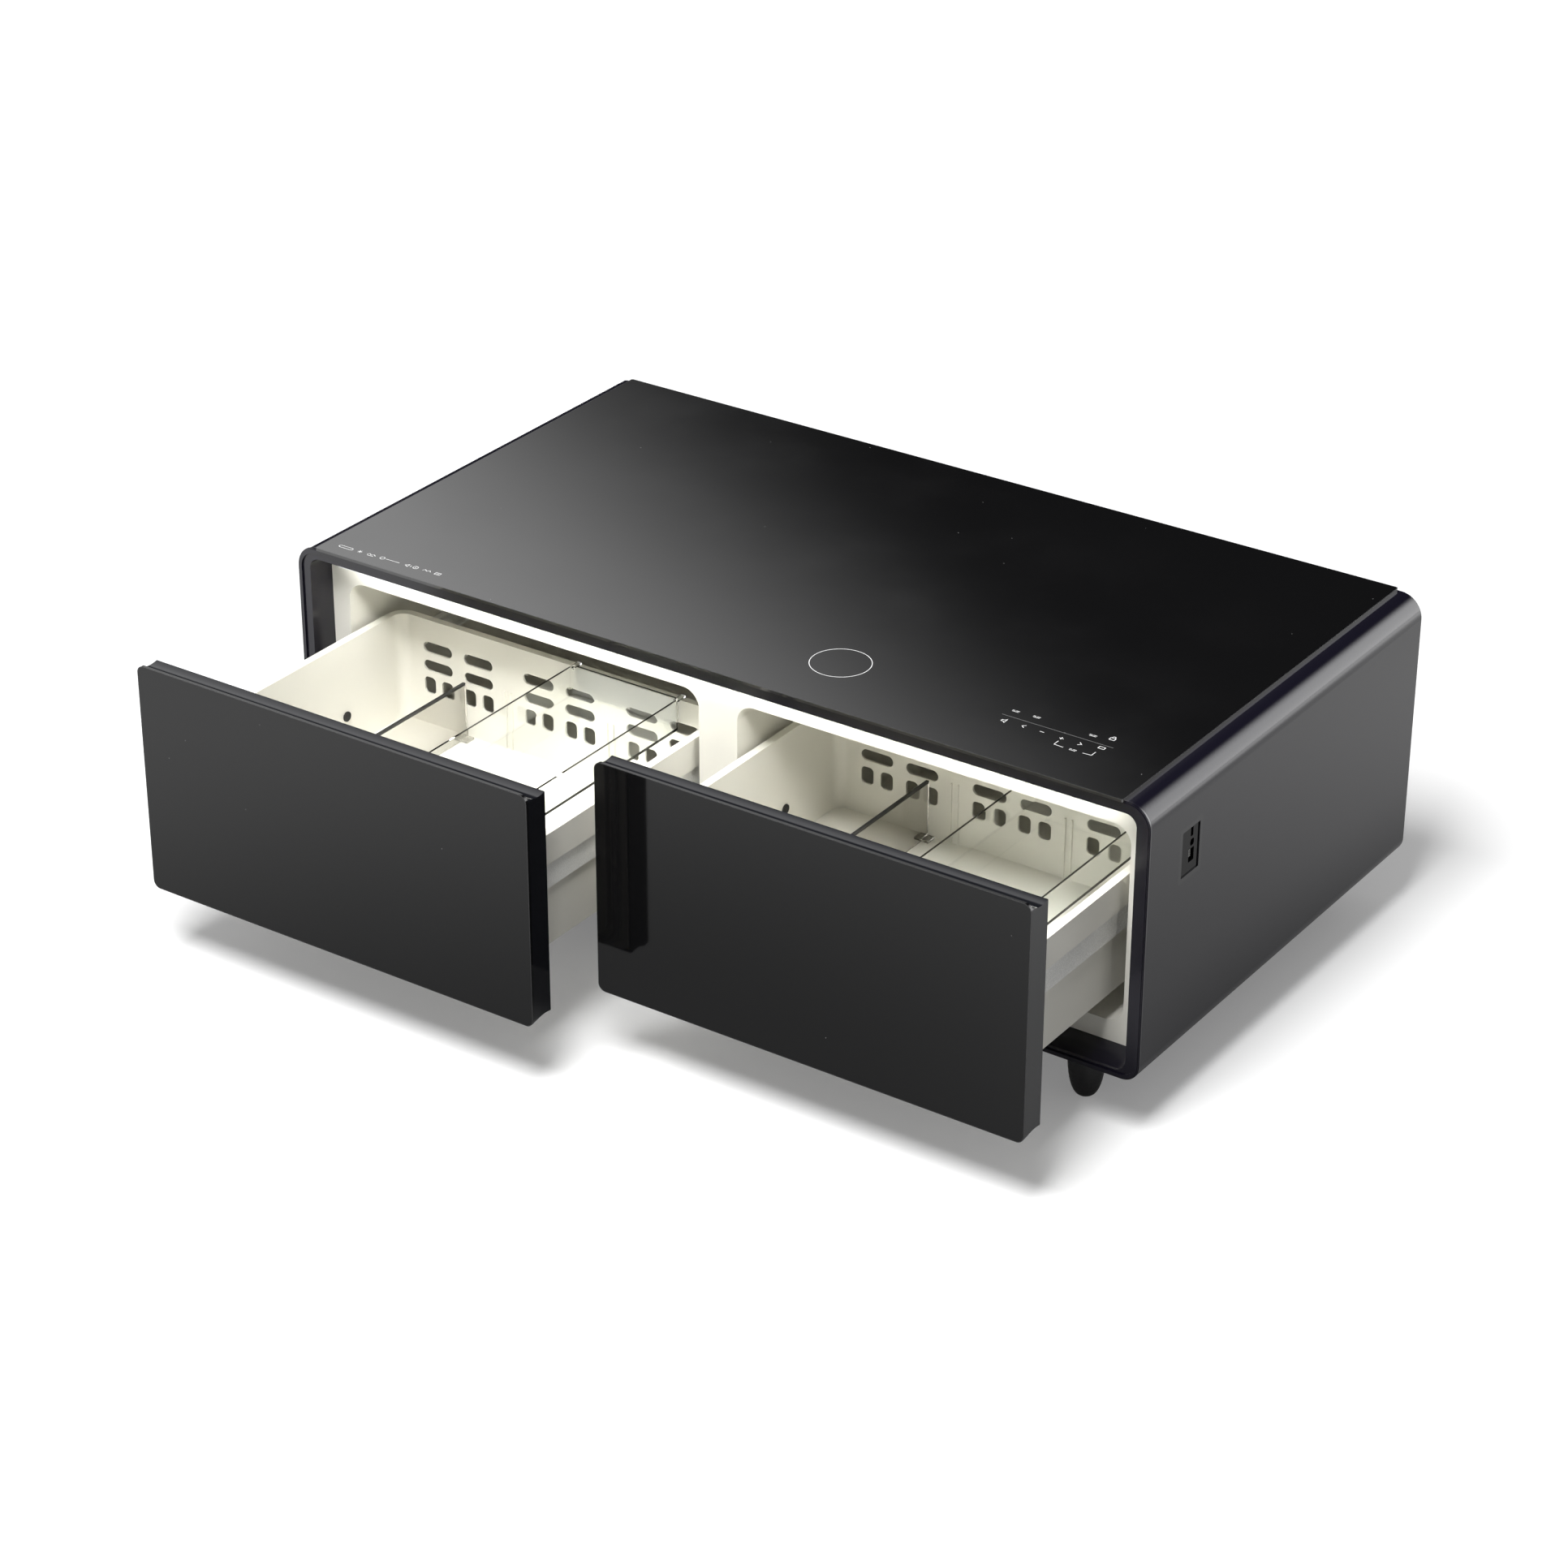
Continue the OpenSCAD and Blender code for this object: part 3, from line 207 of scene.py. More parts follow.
def light_path(graph, *names):
    """1 for the kinds of ray that are named."""
    total = None
    for name in names:
        ray = graph.node("ShaderNodeLightPath", out=name)
        total = ray if total is None else total + ray
    return graph.node("ShaderNodeClamp", {}, {"Value": total})


floor_mesh = bpy.data.meshes.new("floor")
half = FLOOR_SIZE / 2
floor_mesh.from_pydata([(-half, -half, 0), (half, -half, 0), (half, half, 0),
                        (-half, half, 0)], [], [(0, 1, 2, 3)])
floor = link(bpy.data.objects.new("floor", floor_mesh))
floor_paper = bpy.data.materials.new("floor_paper")
floor_paper.use_nodes = True
paper = Graph(floor_paper.node_tree)
paper.tree.nodes.clear()
seen = light_path(paper, "Is Camera Ray", "Is Glossy Ray", "Is Transmission Ray")
pale = paper.blend(paper.noise(3.0), (0.80, 0.80, 0.80, 1), (0.82, 0.82, 0.82, 1))
tone = paper.blend(seen, (BOUNCE, BOUNCE, BOUNCE, 1), pale)
matt = paper.node("ShaderNodeBsdfDiffuse", {}, {"Color": tone})
away = paper.node("ShaderNodeVectorMath", {"operation": "LENGTH"},
                  {0: paper.place()}, out="Value")
mirrored = light_path(paper, "Is Glossy Ray")
# For mirrors only, the floor gets extra glow farther off: a painted bright reflection.
own = (paper.between(away, NEAR, FAR, FLOOR_OWN, 1.0)
       + mirrored * paper.between(away, PAINTED_GLOW_NEAR, PAINTED_GLOW_FAR, 0.0, PAINTED_REFLECTION_GLOW))
glow = paper.node("ShaderNodeEmission", {}, {"Color": (1, 1, 1, 1), "Strength": own})
both = paper.node("ShaderNodeAddShader", {}, {0: matt, 1: glow})
shown = paper.node("ShaderNodeMixShader", {}, {0: seen, 1: matt, 2: both})
# For mirrors only, the floor turns black near the table: a painted dark reflection that stands
# for the shade there.
painted_reflection_shade = mirrored * paper.between(away, PAINTED_REFLECTION_SHADE_NEAR, PAINTED_REFLECTION_SHADE_FAR, PAINTED_REFLECTION_SHADE, 0.0)
black = paper.node("ShaderNodeEmission", {}, {"Strength": 0.0})
surface = paper.node("ShaderNodeMixShader", {}, {0: painted_reflection_shade, 1: shown, 2: black})
paper.node("ShaderNodeOutputMaterial", {}, {"Surface": surface})
floor_mesh.materials.append(floor_paper)
print("floor", FLOOR_SIZE, "m")

# %% [markdown]
# ### World and lamp
# The world gives soft light from all round. Mirrors see two lights in it
# instead. A bright panel fades out along a slant towards the lower right, which
# gives the glass its fade, and it is dimmer overhead. A low strip light stands
# behind on the right, for the rounded right edge of the case. One soft lamp in
# front and above draws the shadow. Angles in the sky are in degrees, and the
# heading is counted from the back, with the left as positive.

# %% World and lamp
FILL = 0.30
PANEL = 1.45
PANEL_SLANT = 1.27
PANEL_LOW, PANEL_HIGH = 62.0, 73.0
PANEL_CURVE = 1.5
OVERHEAD_LOW, OVERHEAD_HIGH, OVERHEAD_SHARE = 0.66, 0.80, 0.3
STRIP = 6.4
STRIP_NEAR, STRIP_FAR = (-6.0, -24.0), (-75.0, -48.0)
STRIP_TOP, STRIP_FULL = 47.0, 22.0
DARK = 0.012

world = bpy.data.worlds.new("studio")
bpy.context.scene.world = world
world.use_nodes = True
sky = Graph(world.node_tree)
sky.tree.nodes.clear()
ray = sky.node("ShaderNodeTexCoord", out="Generated")
ray_x = sky.node("ShaderNodeSeparateXYZ", {}, {0: ray}, out="X")
ray_y = sky.node("ShaderNodeSeparateXYZ", {}, {0: ray}, out="Y")
ray_z = sky.node("ShaderNodeSeparateXYZ", {}, {0: ray}, out="Z")
heading = ray_x.sum("ARCTAN2", 0.0 - ray_x, ray_y) * math.degrees(1)
height = ray_z.sum("ARCSINE", ray_z) * math.degrees(1)
in_panel = sky.between(heading + height * PANEL_SLANT, PANEL_LOW, PANEL_HIGH)
panel = in_panel.sum("POWER", in_panel, PANEL_CURVE) * PANEL
overhead = sky.between(ray_z, OVERHEAD_LOW, OVERHEAD_HIGH, 1.0, OVERHEAD_SHARE)
strip_wide = sky.between(heading, *STRIP_NEAR) * sky.between(heading, *STRIP_FAR)
strip = strip_wide * sky.between(height, STRIP_TOP, STRIP_FULL) * STRIP
mirror_light = panel * overhead + strip + DARK
is_mirror = light_path(sky, "Is Glossy Ray")
is_seen = light_path(sky, "Is Camera Ray", "Is Transmission Ray")
strength = is_mirror * mirror_light + is_seen + (1.0 - is_mirror) * (1.0 - is_seen) * FILL
back = sky.node("ShaderNodeBackground", {}, {"Color": (1, 1, 1, 1), "Strength": strength})
sky.node("ShaderNodeOutputWorld", {}, {"Surface": back})


def lamp(name, at, aim, size, watts):
    """A soft square lamp that is aimed at a point, and that mirrors don't see."""
    data = bpy.data.lights.new(name, "AREA")
    data.shape = "SQUARE"
    data.size = size
    data.energy = watts
    obj = link(bpy.data.objects.new(name, data))
    aimed = (Vector(aim) - Vector(at)).to_track_quat("-Z", "Y").to_matrix().to_4x4()
    obj.matrix_world = Matrix.Translation(at) @ aimed
    obj.visible_camera = False
    obj.visible_glossy = False
    return obj


lamp("key_lamp", (0.3, -2.2, 4.4), (0, -0.2, 0.1), 2.2, 380)
print("world fill", FILL)

# %% [markdown]
# ## Finishes
# A real surface is never one flat colour: paint has a fine orange peel, glass
# collects dust, moulded plastic has a faint grain, and metal shows how it was
# worked. A finish here is a Principled shader whose constants are set straight
# on its sockets. Only what changes over the surface is wired in front of it.

# %% The finish class
class Finish(Graph):
    """One material, built round a Principled shader."""

    def __init__(self, name, **constants):
        self.material = bpy.data.materials.new(name)
        self.material.use_nodes = True
        super().__init__(self.material.node_tree)
        self.shader = self.tree.nodes["Principled BSDF"]
        for words, value in constants.items():
            socket = self.shader.inputs[words.replace("_", " ").title().replace("Ior", "IOR")]
            socket.default_value = value

    def set(self, name, value):
        self.feed(self.shader.inputs[name], value)
        return self

    def tint(self, share, first, second):
        """Base colour between two greys or colours."""
        return self.set("Base Color", self.blend(share, rgba(first), rgba(second)))

    def rough(self, grain, low, high, top=0.7):
        """Roughness that follows a noise, which stays mostly between 0.3 and 0.7."""
        return self.set("Roughness", self.between(grain, 0.3, top, low, high))

    def bump(self, height, depth):
        """Raises the surface by up to a depth in metres."""
        normal = self.node("ShaderNodeBump", {}, {
            "Strength": 1.0, "Distance": depth, "Height": height})
        return self.set("Normal", normal)


def rgba(colour):
    """A grey or a colour with its alpha."""
    return (*colour, 1.0) if isinstance(colour, tuple) else (colour, colour, colour, 1.0)


DUST_CELL, DUST_SIZE = 0.032, 0.0009


def dusty(finish, cell, size):
    """1 on small specks, which sit in about a third of the cells of a 3-D grid."""
    sockets = {"Vector": finish.place(), "Scale": 1.0 / cell}
    distance = finish.node("ShaderNodeTexVoronoi", {}, sockets, out="Distance")
    chance = finish.node("ShaderNodeTexVoronoi", {}, sockets, out="Color")
    picked = finish.node("ShaderNodeSeparateColor", {}, {0: chance}, out=0)
    spot = finish.between(distance, size / cell, 0.5 * size / cell)
    return spot * finish.between(picked, 0.66, 0.68)


print("finish class ready")

# %% [markdown]
# ### Glass, paint and gloss black
# The top and the drawer fronts are black-backed glass: nearly black inside, with
# a clear mirror over it. The wrapped case is satin paint with fine metal flake.
# The bezel and the drawer ends are gloss black plastic.

# %% Dark finishes
def black_glass(name, mirror):
    finish = Finish(name, specular_ior_level=mirror)
    dust = dusty(finish, DUST_CELL, DUST_SIZE)
    film = finish.noise(7.0, 3.0)
    finish.tint(dust, (0.0035, 0.0035, 0.0038), 0.16)
    finish.set("Roughness", finish.between(film, 0.3, 0.8, 0.045, 0.085) + dust * 0.5)
    return finish


def case_paint(name, mirror, low, high):
    finish = Finish(name, specular_ior_level=mirror)
    flake = finish.noise(1400.0, 1.0)
    cloud = finish.noise(5.0, 2.0)
    finish.tint(flake * 0.6 + cloud * 0.4, (0.0045, 0.0040, 0.0090), (0.0075, 0.0068, 0.0120))
    finish.rough(cloud, low, high)
    finish.bump(finish.noise(420.0, 2.0), 0.00003)
    return finish


def gloss_black():
    finish = Finish("gloss_black", specular_ior_level=0.3)
    film = finish.noise(11.0, 3.0)
    finish.tint(film, (0.0060, 0.0065, 0.0085), (0.0085, 0.0090, 0.0115))
    finish.rough(film, 0.10, 0.17, top=0.75)
    finish.bump(finish.noise(160.0, 1.0), 0.00001)
    return finish


def black_plastic():
    finish = Finish("black_plastic")
    grain = finish.noise(900.0, 2.0)
    finish.tint(finish.noise(14.0), (0.012, 0.012, 0.013), (0.018, 0.018, 0.019))
    finish.rough(grain, 0.38, 0.52)
    finish.bump(grain, 0.00006)
    return finish


def rubber(name, tone):
    finish = Finish(name)
    grain = finish.noise(1500.0, 3.0)
    finish.tint(grain, tone, tone * 1.5)
    finish.rough(grain, 0.62, 0.78)
    finish.bump(grain, 0.00008)
    return finish


print("dark finishes ready")

# %% [markdown]
# ### Plastics and liners
# The liner and the bins are moulded warm white plastic with a faint sheen. The
# trays are clear acrylic and the dividers are smoked. Clear parts are glass
# shaders, and for shadow rays they give way to a tinted see-through shader, so
# that the lights above still reach the bin floor under them.

# %% Plastic finishes
def moulded(name, light, dark, rough):
    finish = Finish(name)
    grain = finish.noise(700.0, 2.0)
    finish.tint(finish.noise(4.0, 3.0), dark, light)
    finish.rough(grain, rough - 0.04, rough + 0.05)
    finish.bump(grain, 0.00005)
    return finish


def clear(name, colour, passed, rough):
    finish = Finish(name, transmission_weight=1.0, ior=1.49)
    scuff = finish.noise(60.0, 4.0)
    finish.tint(scuff, colour, tuple(0.97 * value for value in colour))
    finish.set("Roughness", finish.between(scuff, 0.45, 0.8, rough, rough + 0.06))
    through = finish.node("ShaderNodeBsdfTransparent", {}, {"Color": rgba(passed)})
    shadow = finish.node("ShaderNodeLightPath", out="Is Shadow Ray")
    finished = finish.node("ShaderNodeMixShader", {}, {
        0: shadow, 1: Wire(finish, finish.shader.outputs[0]), 2: through})
    finish.feed(finish.tree.nodes["Material Output"].inputs["Surface"], finished)
    return finish


def opal():
    finish = Finish("diffuser", emission_strength=22.0, roughness=0.5)
    chips = finish.noise(30.0, 1.0, stretch=(1, 0.1, 0.1))
    finish.tint(chips, 0.86, 0.92)
    finish.set("Emission Color", finish.blend(chips, (1.0, 0.985, 0.94, 1), (1.0, 1.0, 0.97, 1)))
    return finish


def foam():
    finish = Finish("foam", roughness=0.9)
    cells = finish.node("ShaderNodeTexVoronoi", {}, {
        "Vector": finish.place(), "Scale": 350.0}, out="Distance")
    finish.tint(cells, (0.62, 0.52, 0.30), (0.78, 0.68, 0.44))
    finish.bump(cells, 0.0006)
    return finish


print("plastic finishes ready")

# %% [markdown]
# ### Metals and the board
# Drawn tubes, rolled sheet and cast housings differ in how their grain runs. A
# noise that is stretched along one axis reads as brushing or rolling, and the
# same noise drives both the roughness and the colour. With these the set is
# full, and every CAD part gets the finish of its slot. Some then get a variant:
# the door glass mirrors less than the top, the bezel is satin, and the side
# sockets are glossy.

# %% Metal finishes
def metal(name, colour, rough, stretch=(1, 1, 1), scale=120.0, spread=0.10):
    finish = Finish(name, metallic=1.0)
    streak = finish.noise(scale, 3.0, stretch)
    finish.tint(streak, tuple(0.82 * value for value in colour), colour)
    finish.rough(streak, rough, rough + spread, top=0.75)
    finish.bump(streak, 0.00003)
    return finish


def board():
    finish = Finish("circuit_board", roughness=0.45)
    tracks = finish.node("ShaderNodeTexWave", {"bands_direction": "DIAGONAL"}, {
        "Vector": finish.place(), "Scale": 55.0, "Distortion": 6.0}, out="Fac")
    finish.tint(finish.between(tracks, 0.45, 0.6), (0.01, 0.10, 0.045), (0.02, 0.17, 0.08))
    finish.bump(tracks, 0.00005)
    return finish


finishes = {
    "case_paint": case_paint("case_paint", 0.26, 0.11, 0.14),
    "black_glass": black_glass("black_glass", 0.95),
    "gloss_black": gloss_black(),
    "black_plastic": black_plastic(),
    "foot_rubber": rubber("foot_rubber", 0.012),
    "seal_grey": rubber("seal_grey", 0.36),
    "white_plastic": moulded("white_plastic", (0.78, 0.765, 0.70), (0.75, 0.735, 0.67), 0.34),
    "white_steel": moulded("white_steel", (0.88, 0.88, 0.85), (0.85, 0.85, 0.82), 0.26),
    "nylon": moulded("nylon", (0.80, 0.80, 0.76), (0.74, 0.74, 0.70), 0.40),
    "grey_plastic": moulded("grey_plastic", (0.16, 0.16, 0.15), (0.13, 0.13, 0.125), 0.42),
    "clear_plastic": clear("clear_plastic", (0.97, 0.98, 0.97), (0.93, 0.94, 0.93), 0.02),
    "smoked_plastic": clear("smoked_plastic", (0.62, 0.61, 0.58), (0.55, 0.54, 0.52), 0.03),
    "diffuser": opal(),
    "foam": foam(),
    "black_steel": metal("black_steel", (0.035, 0.035, 0.037), 0.34, scale=60.0),
    "zinc": metal("zinc", (0.62, 0.63, 0.62), 0.36, scale=80.0),
    "aluminium": metal("aluminium", (0.80, 0.81, 0.82), 0.26, (1, 1, 0.05), 240.0),
    "copper": metal("copper", (0.86, 0.47, 0.32), 0.26, (0.3, 1, 1), 150.0),
    "circuit_board": board(),
}
slots = {row["slot"]: row for row in frame["record"]["materials"]}
for node_name, obj in nodes.items():
    slot = obj.data.materials[0].name.split(".")[0]
    obj.data.materials[0] = finishes[slot].material
door_finish = black_glass("door_glass", 0.30)
bezel_finish = case_paint("bezel_satin", 0.50, 0.20, 0.24)
port_finish = black_glass("port_black", 0.08)
variants = {"left_door_glass": door_finish, "right_door_glass": door_finish,
            "front_bezel": bezel_finish, "port_frame": finishes["gloss_black"],
            "port_plate": port_finish, "port_sockets": port_finish}
for node_name, variant in variants.items():
    nodes[node_name].data.materials[0] = variant.material
print("finishes:", len(finishes), "record slots:", sorted(slots))

# %% [markdown]
# ## Recipes that repeat a shape
# Geometry Nodes build what repeats or follows a path. A recipe is a node group
# with named sizes. It runs on a small base mesh, its result is copied to a plain
# mesh, and the modifier is dropped, so that the piece is ordinary geometry.

# %% Recipe helpers
MM = 0.001


class Recipe(Graph):
    """A geometry node group with named sizes."""

    def __init__(self, name, **sizes):
        super().__init__(bpy.data.node_groups.new(name, "GeometryNodeTree"))
        face = self.tree.interface
        face.new_socket("Geometry", in_out="INPUT", socket_type="NodeSocketGeometry")
        face.new_socket("Geometry", in_out="OUTPUT", socket_type="NodeSocketGeometry")
        self.ids = {}
        for words, kind in sizes.items():
            made = face.new_socket(words, in_out="INPUT", socket_type=kind)
            self.ids[words] = made.identifier
        self.inside = self.tree.nodes.new("NodeGroupInput")

    def size(self, name):
        return Wire(self, self.inside.outputs[name])

    def end(self, shape, finish):
        """Real geometry with its material, as every recipe ends."""
        real = self.node("GeometryNodeRealizeInstances", {}, {0: shape})
        dressed = self.node("GeometryNodeSetMaterial", {}, {
            "Geometry": real, "Material": finish.material})
        self.node("NodeGroupOutput", {}, {0: dressed})

    def make(self, name, base, **sizes):
        """Runs the recipe on a base mesh and gives a plain object."""
        obj = link(bpy.data.objects.new(name, base))
        step = obj.modifiers.new("recipe", "NODES")
        step.node_group = self.tree
        for words, value in sizes.items():
            step[self.ids[words]] = value
        bpy.context.view_layer.update()
        graph = bpy.context.evaluated_depsgraph_get()
        plain = bpy.data.meshes.new_from_object(obj.evaluated_get(graph))
        obj.modifiers.clear()
        obj.data = plain
        plain.name = name
        print(name, len(plain.polygons), "faces")
        return obj


def points(places):
    """A base mesh of loose points."""
    mesh = bpy.data.meshes.new("points")
    mesh.from_pydata([tuple(place) for place in places], [], [])
    return mesh


def loop(corners, radius, steps=8):
    """A base mesh: a closed outline with rounded corners, in its own plane.

    The corners are four points in order, and each is rounded by the radius."""
    path = []
    for k in range(4):
        here = Vector(corners[k])
        before = (Vector(corners[k - 1]) - here).normalized()
        after = (Vector(corners[(k + 1) % 4]) - here).normalized()
        middle = here + radius * (before + after)
        for i in range(steps + 1):
            a = math.pi / 2 * i / steps
            path.append(middle - radius * (math.cos(a) * after + math.sin(a) * before))
    mesh = bpy.data.meshes.new("outline")
    count = len(path)
    mesh.from_pydata([tuple(p) for p in path], [(i, (i + 1) % count) for i in range(count)], [])
    return mesh


def fit(piece, body, slot, *replaced):
    """Rides on its body, and stands for CAD nodes if any. The slot is not used."""
    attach(piece, body)
    if replaced:
        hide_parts(*replaced)


print("recipe helpers ready")

# %% [markdown]
# ### Ground glass edges
# Cut glass has its sharp edge ground to a narrow matt bevel, and under studio
# light that bevel draws a thin pale line round the top and the drawer fronts. It
# follows a path, so a recipe sweeps a small round bar along the outline, set
# into the edge so that only its outer part shows.

# %% Edge lines
def ground_edge():
    finish = Finish("ground_edge", roughness=0.36, specular_ior_level=0.6)
    finish.tint(finish.noise(500.0), (0.060, 0.062, 0.065), (0.100, 0.102, 0.105))
    return finish


edge_finish = ground_edge()
sweep = Recipe("edge_sweep", Radius="NodeSocketFloat", Sides="NodeSocketInt")
path = sweep.node("GeometryNodeMeshToCurve", {}, {0: sweep.size("Geometry")})
profile = sweep.node("GeometryNodeCurvePrimitiveCircle", {}, {
    "Resolution": sweep.size("Sides"), "Radius": sweep.size("Radius")})
tube = sweep.node("GeometryNodeCurveToMesh", {}, {"Curve": path, "Profile Curve": profile})
sweep.end(tube, edge_finish)

EDGE = 0.6 * MM
SUNK = 0.93
TOP_CORNER, DOOR_CORNER = 2.6 * MM, 10.5 * MM
low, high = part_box("glass_top")
inset = SUNK * EDGE
z = high.z - inset
outline = [(low.x + inset, low.y + inset, z), (high.x - inset, low.y + inset, z),
           (high.x - inset, high.y - inset, z), (low.x + inset, high.y - inset, z)]
piece = sweep.make("top_glass_edge", loop(outline, TOP_CORNER), Radius=EDGE, Sides=8)
fit(piece, "cabinet", "black_glass")

for side in ("left", "right"):
    low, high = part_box(side + "_door_glass")
    y = low.y + inset
    outline = [(low.x + inset, y, low.z + inset), (high.x - inset, y, low.z + inset),
               (high.x - inset, y, high.z - inset), (low.x + inset, y, high.z - inset)]
    piece = sweep.make(side + "_glass_edge", loop(outline, DOOR_CORNER), Radius=EDGE, Sides=8)
    fit(piece, side + "_drawer", "black_glass")

# %% [markdown]
# ### Door seals
# A refrigerator door closes on a soft magnetic gasket: a hollow strip with
# folds, so that it can give and then pull shut. The CAD part is a plain ring.
# The recipe sweeps a folded profile round the door, and the result stands for
# the CAD ring. The folds come from a wave on the profile's own angle. The
# profile's X lies across the outline's plane, so that takes the depth.

# %% Seals
seal = Recipe("seal_sweep", Width="NodeSocketFloat", Depth="NodeSocketFloat",
              Folds="NodeSocketFloat", Fold_depth="NodeSocketFloat")
path = seal.node("GeometryNodeMeshToCurve", {}, {0: seal.size("Geometry")})
ring = seal.node("GeometryNodeCurvePrimitiveCircle", {}, {"Resolution": 48, "Radius": 1.0})
spot = seal.node("GeometryNodeInputPosition")
spot_x = seal.node("ShaderNodeSeparateXYZ", {}, {0: spot}, out="X")
spot_y = seal.node("ShaderNodeSeparateXYZ", {}, {0: spot}, out="Y")
angle = spot_x.sum("ARCTAN2", spot_y, spot_x)
wave = angle.sum("COSINE", angle * seal.size("Folds"))
reach = 1.0 - seal.size("Fold_depth") * (1.0 - wave) / 2.0
shaped = seal.node("ShaderNodeCombineXYZ", {}, {
    0: spot_x * reach * seal.size("Depth") / 2.0,
    1: spot_y * reach * seal.size("Width") / 2.0})
folded = seal.node("GeometryNodeSetPosition", {}, {"Geometry": ring, "Position": shaped})
gasket = seal.node("GeometryNodeCurveToMesh", {}, {"Curve": path, "Profile Curve": folded})
smooth = seal.node("GeometryNodeSetShadeSmooth", {}, {"Geometry": gasket})
seal.end(smooth, finishes["seal_grey"])

SEAL_WIDTH = 11.5 * MM
SEAL_CORNER = 22.0 * MM
FOLDS, FOLD_DEPTH = 8.0, 0.16
for side in ("left", "right"):
    low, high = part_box(side + "_seal")
    mid_y = (low.y + high.y) / 2
    inset = SEAL_WIDTH / 2
    outline = [(low.x + inset, mid_y, low.z + inset), (high.x - inset, mid_y, low.z + inset),
               (high.x - inset, mid_y, high.z - inset), (low.x + inset, mid_y, high.z - inset)]
    piece = seal.make(side + "_gasket", loop(outline, SEAL_CORNER, 12), Width=SEAL_WIDTH,
                      Depth=high.y - low.y, Folds=FOLDS, Fold_depth=FOLD_DEPTH)
    fit(piece, side + "_drawer", "seal_grey", side + "_seal")
    back = max(corner.co.y for corner in piece.data.vertices)
    print(side, "gasket ends", round((high.y - back) / MM, 2), "mm in front of the seal's back")

# %% [markdown]
# ### Back screws
# The back panel is held by cross-head screws. The recipe builds one head, cuts
# the cross out of it, adds the shank and puts a copy on each point. The points
# are where the CAD screws are, and follow from their box and the case's width.

# %% Screws
TAPER = 0.72
CROSS_LONG, CROSS_WIDE, CROSS_LIFT = 1.1, 0.2, 0.9
screw = Recipe("screw_heads", Head_radius="NodeSocketFloat", Head_height="NodeSocketFloat",
               Shank_radius="NodeSocketFloat", Shank_length="NodeSocketFloat")
head = screw.node("GeometryNodeMeshCone", {}, {
    "Vertices": 20, "Radius Top": screw.size("Head_radius") * TAPER,
    "Radius Bottom": screw.size("Head_radius"), "Depth": screw.size("Head_height")})
slot_size = screw.node("ShaderNodeCombineXYZ", {}, {
    0: screw.size("Head_radius") * CROSS_LONG, 1: screw.size("Head_radius") * CROSS_WIDE,
    2: screw.size("Head_height")})
bit = screw.node("GeometryNodeMeshCube", {}, {"Size": slot_size})
lifted = screw.node("ShaderNodeCombineXYZ", {}, {2: screw.size("Head_height") * CROSS_LIFT})
one = screw.node("GeometryNodeTransform", {}, {"Geometry": bit, "Translation": lifted})
two = screw.node("GeometryNodeTransform", {}, {
    "Geometry": one, "Rotation": (0, 0, math.pi / 2)})
first_cut = screw.node("GeometryNodeMeshBoolean", {"operation": "DIFFERENCE"}, {
    "Mesh 1": head, "Mesh 2": one})
crossed = screw.node("GeometryNodeMeshBoolean", {"operation": "DIFFERENCE"}, {
    "Mesh 1": first_cut, "Mesh 2": two})
shank = screw.node("GeometryNodeMeshCylinder", {}, {
    "Vertices": 12, "Radius": screw.size("Shank_radius"), "Depth": screw.size("Shank_length")})
below = screw.node("ShaderNodeCombineXYZ", {}, {2: screw.size("Shank_length") * -0.5})
lowered = screw.node("GeometryNodeTransform", {}, {"Geometry": shank, "Translation": below})
whole = screw.tree.nodes.new("GeometryNodeJoinGeometry")
for part in (crossed, lowered):
    screw.tree.links.new(part.socket, whole.inputs[0])
placed = screw.node("GeometryNodeInstanceOnPoints", {}, {
    "Points": screw.size("Geometry"), "Instance": Wire(screw, whole.outputs[0]),
    "Rotation": (-math.pi / 2, 0, 0)})
screw.end(placed, finishes["zinc"])

low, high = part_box("back_screws")
HEAD_RADIUS, HEAD_HEIGHT = 4.0 * MM, 1.5 * MM
SHANK_RADIUS, SHANK_LENGTH = 2.0 * MM, 2.5 * MM
CASE_HALF, CASE_CORNER = 0.650, 0.032
end_x = high.x - HEAD_RADIUS
back_y = high.y - HEAD_HEIGHT
corner_x = CASE_HALF - 2 * CASE_CORNER
third_x = CASE_HALF / 3
places = [(s * x, back_y, z) for s in (-1, 1) for x in (corner_x, third_x)
          for z in (low.z + HEAD_RADIUS, high.z - HEAD_RADIUS)]
places += [(s * end_x, back_y, (low.z + high.z) / 2) for s in (-1, 1)]
piece = screw.make("cross_head_screws", points(places), Head_radius=HEAD_RADIUS,
                   Head_height=HEAD_HEIGHT, Shank_radius=SHANK_RADIUS,
                   Shank_length=SHANK_LENGTH)
fit(piece, "cabinet", "zinc", "back_screws")

# %% [markdown]
# ## Printed marks on the glass
# Touch controls are printed behind the glass in light grey. Each mark is a thin
# ribbon along a few straight lines. A ribbon is drawn from its middle line: the
# line is offset to both sides, with mitred corners, and given a little height.
# The marks are plain symbols, as on any such panel.

# %% Ribbon helper
SHARPEST = 0.35
PLANE_AHEAD = 5.5 * MM
INK_DEEP, INK_PROUD = 0.1 * MM, 0.06 * MM


def offsets(line, width, closed):
    """Left and right points beside a line, mitred where it turns."""
    pairs = []
    count = len(line)
    for i, here in enumerate(line):
        before = line[i - 1] if closed or i else None
        after = line[(i + 1) % count] if closed or i < count - 1 else None
        ways = []
        if before is not None:
            ways.append((here - before).normalized())
        if after is not None:
            ways.append((after - here).normalized())
        way = sum(ways, Vector((0, 0))).normalized()
        normal = Vector((-way.y, way.x))
        spread = max(SHARPEST, abs(normal.dot(Vector((-ways[0].y, ways[0].x)))))
        pairs.append((here + normal * width / 2 / spread, here - normal * width / 2 / spread))
    return pairs


